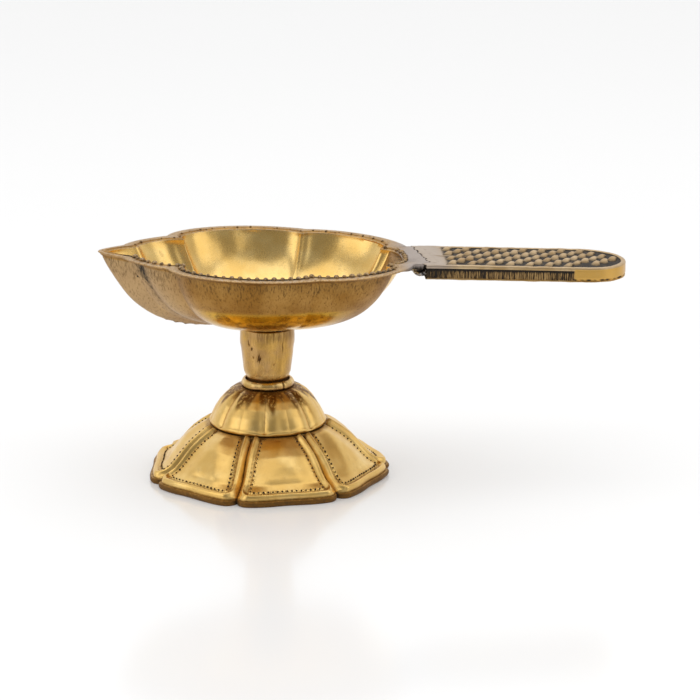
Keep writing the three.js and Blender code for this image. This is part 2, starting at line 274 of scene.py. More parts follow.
# Beads a pitch apart along lines, each a little different
def beadRecipe():
    inputs = {"Pitch": "Float", "Bead": "Vector", "Unevenness": "Float", "Seed": "Int"}
    inputs.update({"Wear": "Float", "Grime": "Float"})
    tree = Recipe("beadsOnLine", {**inputs, "Material": "Material"})
    line = tree.node("GeometryNodeMeshToCurve", None, {"Mesh": tree.given()})
    spaced = {"Curve": line, "Length": tree.given("Pitch")}
    points = tree.node("GeometryNodeResampleCurve", {"mode": "LENGTH"}, spaced)
    ball = {"Segments": 8, "Rings": 6, "Radius": 1.0}
    bead = tree.node("GeometryNodeMeshUVSphere", None, ball)
    for label in ("Wear", "Grime"):
        stored = {"Geometry": bead, "Name": label.lower(), "Value": tree.given(label)}
        bead = tree.node("GeometryNodeStoreNamedAttribute", {"data_type": "FLOAT"}, stored)
    tangent = tree.node("GeometryNodeInputTangent")
    turn = tree.node("FunctionNodeAlignRotationToVector", {"axis": "X"}, {"Vector": tangent})
    scale = {0: tree.given("Bead"), "Scale": tree.unevenSize()}
    size = tree.node("ShaderNodeVectorMath", {"operation": "SCALE"}, scale)
    placed = {"Points": points, "Instance": bead, "Rotation": turn, "Scale": size}
    tree.finish(tree.node("GeometryNodeInstanceOnPoints", None, placed))
    return tree


# Copies of one shape on points, each turned and sized a little differently
def scatterRecipe():
    inputs = {"Shape": "Object", "Turn": "Float", "Unevenness": "Float", "Seed": "Int"}
    tree = Recipe("shapesOnPoints", {**inputs, "Material": "Material"})
    points = tree.node("GeometryNodeMeshToPoints", None, {"Mesh": tree.given()})
    shape = tree.node("GeometryNodeObjectInfo", None, {"Object": tree.given("Shape")}, out="Geometry")
    turn = tree.between(tree.maths("MULTIPLY", tree.given("Turn"), -1.0), tree.given("Turn"))
    turned = tree.node("ShaderNodeCombineXYZ", None, {"Z": turn})
    placed = {"Points": points, "Instance": shape, "Rotation": turned, "Scale": tree.unevenSize()}
    tree.finish(tree.node("GeometryNodeInstanceOnPoints", None, placed))
    return tree


# A mesh of lines through points, for a tree to follow
def lineMesh(name, lines):
    points, edges = [], []
    for line in lines:
        edges += [(len(points) + i, len(points) + i + 1) for i in range(len(line) - 1)]
        points += (np.asarray(line) * mm + [axisX, 0, 0]).tolist()
    mesh = bpy.data.meshes.new(name)
    mesh.from_pydata(points, edges, [])
    return mesh


# ---- materials


# A value in a material: Python's operators on it add the material's Math nodes
class Signal:
    def __init__(self, finish, socket):
        self.finish = finish
        self.socket = socket

    def maths(self, operation, other, clamp=False, swapped=False):
        settings = {"operation": operation, "use_clamp": clamp}
        inputs = {0: other, 1: self} if swapped else {0: self, 1: other}
        return self.finish.node("ShaderNodeMath", settings, inputs)

    def __add__(self, other):
        return self.maths("ADD", other)

    def __sub__(self, other):
        return self.maths("SUBTRACT", other)

    def __rsub__(self, other):
        return self.maths("SUBTRACT", other, swapped=True)

    def __mul__(self, other):
        return self.maths("MULTIPLY", other)

    __radd__ = __add__
    __rmul__ = __mul__

    def clip(self):
        return self.maths("ADD", 0.0, clamp=True)

    # 0 below low, 1 above high, and smooth between
    def rise(self, low, high):
        inputs = {"Value": self, "From Min": low, "From Max": high}
        return self.finish.node("ShaderNodeMapRange", {"interpolation_type": "SMOOTHSTEP"}, inputs)


class Finish:
    def __init__(self, name):
        self.made = bpy.data.materials.new(name)
        self.made.use_nodes = True
        self.tree = self.made.node_tree
        self.shader = self.tree.nodes["Principled BSDF"]

    def feed(self, socket, value):
        if isinstance(value, Signal):
            self.tree.links.new(value.socket, socket)
        elif socket.type == "RGBA":
            socket.default_value = (*value, 1)
        else:
            socket.default_value = value

    # Any node: its settings, then the values or links of its sockets
    def node(self, kind, settings=None, inputs=None, out=0):
        made = self.tree.nodes.new(kind)
        for key, value in (settings or {}).items():
            setattr(made, key, value)
        for key, value in (inputs or {}).items():
            self.feed(made.inputs[key], value)
        return Signal(self, made.outputs[out])

    # Object coordinates about the stem's axis, in millimetres over the stretch
    def place(self, stretch=(1, 1, 1)):
        where = self.node("ShaderNodeTexCoord", out="Object")
        scale = tuple(1 / (mm * s) for s in stretch)
        shift = tuple(-c * s for c, s in zip((axisX, 0, 0), scale))
        return self.node("ShaderNodeMapping", None, {"Vector": where, "Location": shift, "Scale": scale})

    def noise(self, size, stretch=(1, 1, 1), detail=4, roughness=0.55, seed=0, distortion=0.0):
        inputs = {
            "Vector": self.place(stretch),
            "W": seed * 7.3,
            "Scale": 1 / size,
            "Detail": detail,
            "Roughness": roughness,
            "Distortion": distortion,
        }
        return self.node("ShaderNodeTexNoise", {"noise_dimensions": "4D"}, inputs)

    def specks(self, size, stretch=(1, 1, 1), seed=0):
        inputs = {"Vector": self.place(stretch), "W": seed * 3.1, "Scale": 1 / size}
        settings = {"feature": "F1", "voronoi_dimensions": "4D"}
        return self.node("ShaderNodeTexVoronoi", settings, inputs, out="Distance")

    # Fine streaks running up and down, whichever way the wall faces
    def uprightStreaks(self, width, length, seed=0):
        return self.noise(width, (1, 1, length / width), detail=3, seed=seed)

    def mask(self, name):
        return self.node("ShaderNodeAttribute", {"attribute_name": name}, out="Fac")

    def mix(self, share, first, second):
        inputs = {"Factor": share, 6: first, 7: second}
        return self.node("ShaderNodeMix", {"data_type": "RGBA"}, inputs, out=2)

    def relief(self, height, strength, depth):
        inputs = {"Height": height, "Strength": strength, "Distance": depth * mm}
        return self.node("ShaderNodeBump", None, inputs, out="Normal")

    def coat(self, colour, roughness, metallic, normal):
        sockets = {"Base Color": colour, "Roughness": roughness, "Metallic": metallic, "Normal": normal}
        for name, value in sockets.items():
            self.feed(self.shader.inputs[name], value)
        return self.made


# Linear colours of the metals
tones = {
    "polished": (0.75, 0.48, 0.145),
    "bright": (0.88, 0.63, 0.25),
    "satin": (0.50, 0.30, 0.115),
    "deep": (0.66, 0.40, 0.10),
    "amber": (0.76, 0.44, 0.03),
    "gilt": (0.62, 0.365, 0.09),
    "dun": (0.46, 0.255, 0.07),
    "dusk": (0.32, 0.155, 0.032),
    "tan": (0.42, 0.27, 0.115),
    "worn": (0.62, 0.46, 0.27),
    "greyed": (0.43, 0.375, 0.345),
    "brown": (0.10, 0.045, 0.012),
    "umber": (0.22, 0.105, 0.022),
    "soot": (0.016, 0.010, 0.005),
    "steel": (0.34, 0.33, 0.32),
    "braze": (0.52, 0.50, 0.49),
    "rust": (0.12, 0.05, 0.02),
}


# The bowl: bright inside, satin and streaked outside, greyed at the neck of the handle, with a painted amber
# reflection of the foot on its buffed lower wall
def bowlFinish():
    coat = Finish("bowl_brass")
    names = ("inside", "grime", "neck", "wear", "buffed", "valley", "paintedReflection")
    inside, grime, neck, wear, buffed, valley, paintedReflection = (coat.mask(m) for m in names)
    clouds = coat.noise(9, detail=5, seed=1)
    mottle = coat.noise(2.2, detail=6, roughness=0.65, seed=2)
    specks = coat.noise(0.34, detail=3, roughness=0.7, seed=3)
    streaks = coat.uprightStreaks(0.42, 5, seed=4)
    pits = coat.specks(3.4, seed=5).rise(0.16, 0.05) * coat.noise(12, seed=6).rise(0.5, 0.62)
    outside = coat.mix(clouds.rise(0.3, 0.7), tones["dusk"], tones["dun"])
    # paler and greyer towards the spout, set by position
    outside = coat.mix(valley, outside, tones["worn"])
    outside = coat.mix(buffed * 0.8, outside, tones["deep"])
    # painted reflection: the foot's amber laid on the buffed lower wall, mottled darker in places
    outside = coat.mix(paintedReflection, outside, tones["amber"])
    outside = coat.mix(paintedReflection * mottle.rise(0.48, 0.62) * 0.6, outside, tones["brown"])
    outside = coat.mix(streaks.rise(0.5, 0.72) * (0.6 - buffed * 0.45), outside, tones["brown"])
    outside = coat.mix(mottle.rise(0.56, 0.78) * clouds.rise(0.35, 0.65) * 0.5, outside, tones["umber"])
    tarnish = mottle.rise(0.52, 0.8) * clouds.rise(0.42, 0.62)
    polished = coat.mix(clouds.rise(0.35, 0.75), tones["polished"], tones["bright"])
    polished = coat.mix((tarnish * 0.5 + specks.rise(0.6, 0.75) * 0.16).clip(), polished, tones["umber"])
    colour = coat.mix(inside, outside, polished)
    colour = coat.mix(neck, colour, tones["greyed"])
    colour = coat.mix((wear * specks.rise(0.3, 0.62)).clip(), colour, tones["worn"])
    crust = coat.noise(0.8, detail=5, roughness=0.7, seed=7)
    colour = coat.mix((wear * crust.rise(0.47, 0.4) * 0.55).clip(), colour, tones["greyed"])
    colour = coat.mix((wear * crust.rise(0.56, 0.63) * 0.85).clip(), colour, tones["brown"])
    dirtAndShade = (grime * (0.3 + mottle * 0.7 + streaks.rise(0.4, 0.62) * 0.5) + pits * (1 - inside)).clip()
    colour = coat.mix(dirtAndShade.rise(0.12, 0.85), colour, tones["soot"])
    dull = 0.3 + streaks * 0.2 + mottle * 0.1
    shiny = 0.1 + mottle * 0.08 + streaks * 0.08
    satin = dull * (1 - buffed) + buffed * shiny
    bright = 0.2 + tarnish * 0.22 + specks * 0.12
    roughness = (inside * bright + (1 - inside) * satin + neck * 0.08 + dirtAndShade * 0.4).clip()
    metallic = 1 - dirtAndShade.rise(0.2, 0.95) * 0.85
    brushed = streaks * 0.35 * (1 - inside) * (1 - buffed)
    height = brushed + specks * 0.3 + mottle * 0.5 - pits * (1 - inside) * 2.0
    return coat.coat(colour, roughness, metallic, coat.relief(height, 0.35, 0.1))


# The two tiers of the foot: polished gold, browned in the hollows, with painted shade in the dome's creases, along
# its lower edge and under the collar
def footFinish():
    coat = Finish("foot_brass")
    grime, wear, drips, sand = (coat.mask(m) for m in ("grime", "wear", "drips", "sand"))
    clouds = coat.noise(7, detail=5, seed=11)
    mottle = coat.noise(1.4, detail=6, roughness=0.65, seed=12)
    specks = coat.noise(0.3, detail=3, roughness=0.7, seed=13)
    runs = coat.uprightStreaks(0.8, 9, seed=14)
    colour = coat.mix(clouds.rise(0.42, 0.8), tones["polished"], tones["bright"])
    dulled = (mottle.rise(0.5, 0.85) * 0.45 + specks.rise(0.58, 0.75) * 0.2).clip()
    colour = coat.mix(dulled, colour, tones["satin"])
    colour = coat.mix((drips * runs.rise(0.3, 0.5)).clip(), colour, tones["umber"])
    colour = coat.mix((wear * 0.6).clip(), colour, tones["polished"])
    sandy = sand * specks.rise(0.5, 0.58)
    # the mask brings in dirt and painted shade alike, both laid on below as umber and soot
    dirtAndShade = (grime * (0.35 + mottle * 1.2) + sandy * 0.4).clip()
    colour = coat.mix(dirtAndShade.rise(0.1, 0.55), colour, tones["umber"])
    colour = coat.mix(dirtAndShade.rise(0.45, 1.0), colour, tones["soot"])
    roughness = (0.2 + mottle * 0.16 + specks * 0.08 + dirtAndShade * 0.4 + drips * 0.1).clip()
    metallic = 1 - dirtAndShade.rise(0.4, 1.0) * 0.8
    height = mottle * 0.5 + specks * 0.35 - sandy * 0.6
    return coat.coat(colour, roughness, metallic, coat.relief(height, 0.3, 0.12))


# Stem and collar: cast, brushed up and down, with casting flaws, a stain at the top, and painted shadow where the
# stem sits in the collar
def stemFinish():
    coat = Finish("stem_brass")
    grime, wear, stain = (coat.mask(m) for m in ("grime", "wear", "stain"))
    clouds = coat.noise(5, detail=4, seed=21)
    mottle = coat.noise(1.2, detail=6, roughness=0.65, seed=22)
    specks = coat.noise(0.3, detail=3, roughness=0.7, seed=23)
    streaks = coat.uprightStreaks(0.3, 7, seed=24)
    bands = coat.noise(2.6, (1, 1, 9), detail=2, seed=25)
    colour = coat.mix(clouds.rise(0.35, 0.7), tones["satin"], tones["gilt"])
    colour = coat.mix(bands.rise(0.42, 0.62) * 0.28, colour, tones["umber"])
    colour = coat.mix(streaks.rise(0.5, 0.78) * 0.3, colour, tones["umber"])
    colour = coat.mix((stain * streaks.rise(0.34, 0.62) * 0.8).clip(), colour, tones["brown"])
    colour = coat.mix((wear * 0.8).clip(), colour, tones["bright"])
    # the mask brings in dirt and the painted shadow at the stem's foot and in the collar's recess, laid on as umber
    # and soot
    dirtAndShade = (grime * (0.5 + mottle)).clip()
    colour = coat.mix(dirtAndShade.rise(0.1, 0.6), colour, tones["umber"])
    colour = coat.mix(dirtAndShade.rise(0.5, 1.0), colour, tones["soot"])
    roughness = (0.17 + streaks * 0.16 + mottle * 0.08 + dirtAndShade * 0.35).clip()
    metallic = 1 - dirtAndShade.rise(0.4, 1.0) * 0.8
    height = streaks * 0.2 + mottle * 0.4 + specks * 0.3
    return coat.coat(colour, roughness, metallic, coat.relief(height, 0.3, 0.1))


# The handle: tan on top, black in the hollows with patina and painted shade, filed sides
def handleFinish():
    coat = Finish("handle_brass")
    names = ("grime", "wear", "filed", "band", "neck")
    grime, wear, filed, band, neck = (coat.mask(m) for m in names)
    clouds = coat.noise(6, detail=4, seed=31)
    mottle = coat.noise(0.9, detail=6, roughness=0.65, seed=32)
    specks = coat.noise(0.28, detail=3, roughness=0.7, seed=33)
    fileLines = coat.noise(0.34, (1, 1, 14), detail=4, roughness=0.7, seed=34)
    broad = coat.noise(2.4, (1, 1, 6), detail=3, seed=35)
    colour = coat.mix(clouds.rise(0.35, 0.7), tones["tan"], tones["worn"])
    colour = coat.mix(wear * 0.5, colour, tones["worn"])
    colour = coat.mix(neck * 0.65, colour, tones["greyed"])
    sides = coat.mix(fileLines.rise(0.36, 0.6), tones["brown"], tones["tan"])
    colour = coat.mix(filed, colour, sides)
    colour = coat.mix((band * (0.75 + mottle * 0.4)).clip(), colour, tones["gilt"])
    lines = filed * (fileLines.rise(0.6, 0.42) * 0.7 + broad.rise(0.48, 0.66) * 0.4)
    # the mask brings in patina and painted shade between the scales, laid on as soot
    dirtAndShade = (grime * (0.6 + mottle * 0.8) + lines + specks.rise(0.62, 0.74) * 0.25 * (1 - band)).clip()
    colour = coat.mix(dirtAndShade.rise(0.15, 0.9), colour, tones["soot"])
    roughness = (0.36 + mottle * 0.12 + dirtAndShade * 0.35 - band * 0.1).clip()
    metallic = 1 - dirtAndShade.rise(0.3, 1.0) * 0.8
    height = mottle * 0.6 + specks * 0.4 + filed * fileLines * 2.0
    return coat.coat(colour, roughness, metallic, coat.relief(height, 0.45, 0.12))


def brazeFinish():
    coat = Finish("braze_metal")
    lumps = coat.noise(1.1, detail=6, roughness=0.7, seed=41)
    specks = coat.noise(0.25, detail=3, roughness=0.7, seed=42)
    colour = coat.mix(lumps.rise(0.3, 0.5), tones["soot"], tones["braze"])
    colour = coat.mix(specks.rise(0.62, 0.75) * 0.6, colour, tones["brown"])
    roughness = (0.5 - lumps * 0.3 + specks * 0.1).clip()
    return coat.coat(colour, roughness, lumps.rise(0.3, 0.5), coat.relief(lumps + specks * 0.4, 0.6, 0.2))


def steelFinish():
    coat = Finish("fixing_steel")
    grime = coat.mask("grime")
    mottle = coat.noise(1.3, detail=6, roughness=0.65, seed=51)
    scratches = coat.noise(0.25, (1, 6, 1), detail=3, seed=52)
    dirtAndShade = (grime * (0.4 + mottle) + mottle.rise(0.56, 0.72) * 0.6).clip()
    colour = coat.mix(dirtAndShade, tones["steel"], tones["rust"])
    roughness = (0.3 + scratches * 0.15 + dirtAndShade * 0.35).clip()
    return coat.coat(colour, roughness, 1 - dirtAndShade * 0.7, coat.relief(mottle + scratches * 0.4, 0.4, 0.08))


# ---- the bowl


bowl = {
    "flange": 4.2,  # radial width of the flat rim
    "overhang": 2.7,  # of the rim past the outside wall
    "sideValley": 1.3,  # of the hollow beside the spout's keel
    "edge": 0.5,
    "backReach": 46.7,  # of the rim behind, where the neck begins
    "floor": 1.8,
    "roundShare": 0.4,  # of the cup's rise that is a plain dish; the rest turns up steeply
    "cupPower": 7,
    "keelPower": 5,
    "notchInset": 2.9,  # how much further in the cup stands at a notch of the rim
    "notchWidth": 2.4,
    "handleNotch": 17.5,  # degrees from the handle to the notches beside it
    "handleInset": 4.2,
    "facet": 1.3,  # half the width of the leaf-shaped flat on a ridge
    "beadLine": 0.95,  # outside the cup's edge
    "beadPitch": 2.55,
    "bead": (0.95, 1.15, 0.78),
    "backBead": 0.55,
    "backPitch": 4.3,
    "unevenness": 0.13,
}


# The neck's ragged end, where the handle takes over
def seamAt(y):
    y = np.asarray(y, float)
    lean = handleLow[0] - 1.9 - 0.16 * y - 2.3 * smoothStep(-9.4, -11.0, y)
    return lean + 0.3 * np.sin(y * 1.3) + 0.22 * np.sin(y * 2.9 + 1)


# The rim's outer edge from above, round from the spout's tip by the near side
def rimOutline():
    reach, width = spoutReach, rimHalfWidth
    tip = (-reach, 0)
    spoutNotch = (-0.853 * reach, 0.207 * width)
    frontNotch = (-0.59 * reach, 0.566 * width)
    backNotch = (14.5, 0.89 * width)
    neck = (handleLow[0] - 5.2, 0.301 * width)
    half = [
        bezier(tip, (-reach, 0.05 * width), (-0.92 * reach, 0.135 * width), spoutNotch, 40),
        bezier(spoutNotch, (-0.83 * reach, 0.321 * width), (-0.733 * reach, 0.457 * width), frontNotch, 60),
        bezier(frontNotch, (-0.543 * reach, 0.88 * width), (-6, 1.135 * width), backNotch, 120),
        bezier(backNotch, (25, 0.906 * width), (41, 0.676 * width), neck, 100),
    ]
    half = np.vstack(half)
    cornerY = neck[1]
    ends = np.linspace(cornerY + 0.6, -cornerY - 0.6, 60)
    seam = np.stack([seamAt(-ends), ends], 1)
    outline = np.vstack([half, [neck], seam, [(neck[0], -cornerY)], (half * [1, -1])[:0:-1]])
    return outline * [1, -1], [spoutNotch, frontNotch, backNotch]


class BowlShape:
    def __init__(self):
        outline, notches = rimOutline()
        self.edge = softLine(outline, 0.46, 0.5, closed=True)
        self.reach = np.hypot(*self.edge.T)
        around = np.column_stack([self.edge, np.zeros(len(self.edge))])
        self.reach += unevenness(around, 9, 7) * 0.14 + unevenness(around, 3, 71) * 0.05 - 0.1
        self.angle = np.arctan2(self.edge[:, 1], self.edge[:, 0])
        self.away = self.edge / self.reach[:, None]
        self.fromSpout = 180 - np.degrees(np.abs(self.angle))
        self.keel = 1 - smoothStep(0.4, 16, self.fromSpout)
        self.tip = bellAt(self.fromSpout, 0, 6)
        sides = []
        for x, y in notches:
            sides.append(np.hypot(self.edge[:, 0] - x, np.abs(self.edge[:, 1]) - y))
        self.spoutNotch, self.frontNotch, self.backNotch = sides
        degrees = np.degrees(np.abs(self.angle))
        self.handleNotch = np.abs(degrees - bowl["handleNotch"]) * 0.7
        self.behind = bellAt(degrees, 0, 24)
        plain = np.where(self.edge[:, 0] > 0, np.minimum(self.reach, bowl["backReach"]), self.reach)
        self.outer = plain - bowl["overhang"] + 1.1 * self.tip - 5.6 * self.behind
        self.outer -= bowl["sideValley"] * bellAt(self.fromSpout, 15.5, 4.4)
        self.inner = plain - bowl["flange"] + 1.2 * self.tip

        self.thickNeck = smoothStep(40.5, 45, self.edge[:, 0])

    def rimHeight(self, x):
        return rimTop - rimFall * np.asarray(x)

    # How far a ridge stands in from the cup's wall, at a share of the way out
    def ridges(self, share):
        flat = bowl["facet"] * math.sin(math.pi * min(1, share**2)) ** 2
        inset = 0
        weights = ((self.spoutNotch, 0.25), (self.frontNotch, 1), (self.backNotch, 0.55))
        for distance, weight in weights:
            away = np.maximum(0, distance - flat * weight)
            inset = inset + bowl["notchInset"] * weight * np.exp(-away / bowl["notchWidth"])
        away = np.maximum(0, self.handleNotch - 0.3)
        return (inset + bowl["handleInset"] * np.exp(-away / bowl["notchWidth"])) * share**2

    def rise(self, share):
        dish = bowl["roundShare"] * share**2 + (1 - bowl["roundShare"]) * share ** bowl["cupPower"]
        return dish * (1 - self.keel) + share ** bowl["keelPower"] * self.keel

    def row(self, radius, height):
        radius = np.broadcast_to(radius, self.reach.shape)
        flat = self.away * radius[:, None]
        return np.column_stack([flat, np.broadcast_to(height, self.reach.shape)])

    def outsideRow(self, share):
        foot = stemHigh[2] + 0.7
        radius = share * self.outer
        # small nubs left along the keel
        nubs = self.keel**6 * bellAt(share, 0.53, 0.11) * np.maximum(0, np.sin(radius * 2.05))
        top = self.rimHeight(self.away[:, 0] * self.outer) - 2.1
        return self.row(radius + 0.25 * nubs, foot + (top - foot) * self.rise(share) - 0.35 * nubs)

    def insideRow(self, share):
        foot = stemHigh[2] + 0.7 + bowl["floor"]
        edge = self.inner
        radius = share * edge - self.ridges(share)
        top = self.rimHeight(self.away[:, 0] * edge) - 0.9 - 0.9 * self.behind
        return self.row(radius, foot + (top - foot) * self.rise(share))

    # The flat rim and its two edges, from under its outer edge to the top of the cup's wall
    def rimRows(self):
        thick = bowl["edge"]
        inner = self.inner - self.ridges(1)
        width = self.reach - inner
        outline = [
            (self.outer + 0.25, -1.55),
            (self.outer + 0.8, -1.15),
            (self.outer * 0.5 + self.reach * 0.5, -1.0 - 0.9 * self.thickNeck),
            (self.reach - 0.35, -thick - 0.08 - 1.1 * self.thickNeck),
            (self.reach - 0.08, -thick + 0.08 - 1.0 * self.thickNeck),
            (self.reach, -thick * 0.5),
            (self.reach - 0.06, -0.16),
            (self.reach - 0.3, 0.0),
            (inner + width * 0.8, 0.0),
            (inner + bowl["beadLine"] + 1.0, -0.04),
            (inner + bowl["beadLine"] + 0.7, -0.22),
            (inner + bowl["beadLine"] + 0.4, -0.05),
            (inner + bowl["beadLine"] + 0.25, 0.12),
            (inner + bowl["beadLine"] - 0.25, 0.12),
            (inner + bowl["beadLine"] - 0.4, -0.05),
            (inner + 0.25, -0.2),
            (inner + 0.1, -0.3),
            (inner + 0.02, -0.5),
        ]
        rows = []
        for radius, drop in outline:
            sunk = 0.9 * self.behind * smoothStep(-0.7, -0.5, drop) * smoothStep(3.2, 0.4, radius - inner)
            drop = drop - sunk
            rows.append(self.row(radius, self.rimHeight(self.away[:, 0] * radius) + drop))
        return rows

    def beadPath(self):
        radius = self.inner - self.ridges(1) + bowl["beadLine"]
        height = self.rimHeight(self.away[:, 0] * radius) + 0.12 - 0.9 * self.behind * smoothStep(
            3.2, 0.4, bowl["beadLine"]
        )
        return self.row(radius, height)


def makeBowl(material, recipe):
    shape = BowlShape()
    outShares = np.linspace(0.03, 1, 62) ** 0.8
    inShares = (np.linspace(0.03, 1, 62) ** 0.8)[::-1]
    outside = [shape.outsideRow(s) for s in outShares]
    rim = shape.rimRows()
    inside = [shape.insideRow(s) for s in inShares]
    grid = np.stack(outside + rim + inside)
    walls = np.concatenate([np.ones(len(outside)), np.zeros(len(rim)), np.ones(len(inside))])
    waves = unevenness(grid, 17, 5) * bowl["unevenness"] + unevenness(grid, 5, 6) * 0.025
    radial = np.concatenate([outShares, np.zeros(len(rim)), inShares])[:, None] * walls[:, None]
    grid[..., 0] += waves * radial * shape.away[:, 0]
    grid[..., 1] += waves * radial * shape.away[:, 1]
    grid[..., 2] += waves * (1 - radial) * walls[:, None] * 0.6
    rows = np.arange(len(grid))[:, None]
    firstRim, firstIn = len(outside), len(outside) + len(rim)
    below = rows < firstRim  # the rim
    insideMask = np.broadcast_to((rows >= firstIn - 1) * 1.0, grid.shape[:2])
    patchy = 0.62 + 0.38 * unevenness(shape.edge[:, [0, 1, 1]], 7, 9)
    # the groove's darkening is set stronger on the near side by position
    nearSide = 0.3 + 0.7 * smoothStep(12, -8, shape.edge[:, 1])
    groove = bellAt(rows, firstRim + 12.3, 2.9) * (1 - shape.tip) * np.clip(patchy * 1.4, 0, 1) * nearSide
    underRim = bellAt(rows, firstRim - 1, 5) * 0.36
    lastShare = np.concatenate([outShares, np.ones(len(rim)), inShares])[:, None]
    besideKeel = bellAt(shape.fromSpout, 15.5, 2.6) * below * 0.4 * smoothStep(0.3, 0.6, lastShare)
    foot = below * smoothStep(0.3, 0.16, lastShare) * 0.5
    roughNeck = smoothStep(40, 47, grid[..., 0]) * ((rows >= firstRim - 6) & (rows < firstRim + 5))
    nubs = below * shape.keel**6 * bellAt(lastShare, 0.53, 0.12)
    grime = np.clip(groove * 1.3 + underRim + besideKeel + foot + roughNeck * 0.95 + nubs * 0.8, 0, 1)
    onTop = (rows >= firstRim + 4) & (rows < firstIn)
    neck = smoothStep(39.5, 44, grid[..., 0]) * onTop
    wear = np.clip(bellAt(rows, firstRim + 7.5, 3) * 0.9 + bellAt(rows, firstIn - 2, 1.2) * 0.7, 0, 1)
    wear = wear * (1 - 0.85 * neck)
    middle = [grid[0].mean(0), grid[-1].mean(0)]
    middle[0][:2] = 0
    middle[1][:2] = 0
    fromFront = np.abs(np.degrees(np.abs(shape.angle)) - 90)
    buffed = below * smoothStep(0.88, 0.84, lastShare) * smoothStep(56, 38, fromFront)
    # painted reflection of the foot, laid on the buffed band
    paintedReflection = buffed * smoothStep(44, 30, fromFront) * 0.85
    # paler and greyer towards the spout, set by position
    spoutSide = below * (0.5 * smoothStep(52, 20, shape.fromSpout))
    masks = {"inside": insideMask, "grime": grime, "neck": neck, "wear": wear, "buffed": buffed}
    masks.update({"valley": spoutSide, "paintedReflection": paintedReflection})
    obj = skinOver("oilBowl", material, grid, "poles", middle, masks, sharpAngle=38)
    path = shape.beadPath()
    onRim = shape.fromSpout > 11
    ahead = (path[:, 1] < 0) | ((path[:, 1] < 9) & (path[:, 0] > 0))
    front = path[onRim & ahead]
    back = path[onRim & ~ahead]
    values = {"Unevenness": 0.4, "Wear": 0.8, "Grime": 0.45, "Material": material}
    size = [c * mm for c in bowl["bead"]]
    values.update({"Pitch": bowl["beadPitch"] * mm, "Bead": size, "Seed": 4})
    frontLine = opened(front)
    beads = recipe.make("rimBeads", lineMesh("rimBeadLine", [frontLine]), values)
    worn = [c * bowl["backBead"] for c in size]
    values.update({"Pitch": bowl["backPitch"] * mm, "Bead": worn, "Seed": 5, "Grime": 0.6, "Wear": 0.2})
    values["Unevenness"] = 0.7
    backBeads = recipe.make("rimBeadsBehind", lineMesh("rimBackLine", [opened(back)]), values)
    return obj, beads, backBeads


# A closed line's points, started after its widest gap
def opened(line):
    steps = np.linalg.norm(np.roll(line, 1, 0) - line, axis=1)
    return np.roll(line, -int(np.argmax(steps)), 0)


# ---- the foot's lower tier


petals = {
    "count": 7,
    "turn": -18,  # degrees, the first groove counted from -Y towards +X
    "soft": 2.4,  # how far a corner is rounded off
    "cornerSpread": 6.6,  # degrees from a groove to the corner beside it
    "notch": 5.2,  # how far in the edge stands at a groove
    "bow": 1.5,  # how far in a petal's edge is drawn at its middle
    "groove": 0.8,
    "ridge": 0.85,
    "ridgeLine": 1.55,  # from the groove to the ridge's crest
    "valley": 0.42,
    "dotLine": 3.7,
    "dotPitch": 1.45,
    "dot": (0.36, 0.36, 0.3),
    "cornerRadius": 4.2,
    "crown": 0.7,
}

# The lower tier's outside, from under the dome down to its flat lower edge, (radius, height)
# as shares of the foot's own radius and height
petalSection = [
    (0.495, 1.0),
    (0.525, 0.965),
    (0.60, 0.85),
    (0.67, 0.72),
    (0.735, 0.565),
    (0.79, 0.42),
    (0.84, 0.305),
    (0.90, 0.225),
    (0.955, 0.18),
    (0.982, 0.145),
    (1.0, 0.10),
    (1.0, 0.03),
    (0.99, 0.0),
]


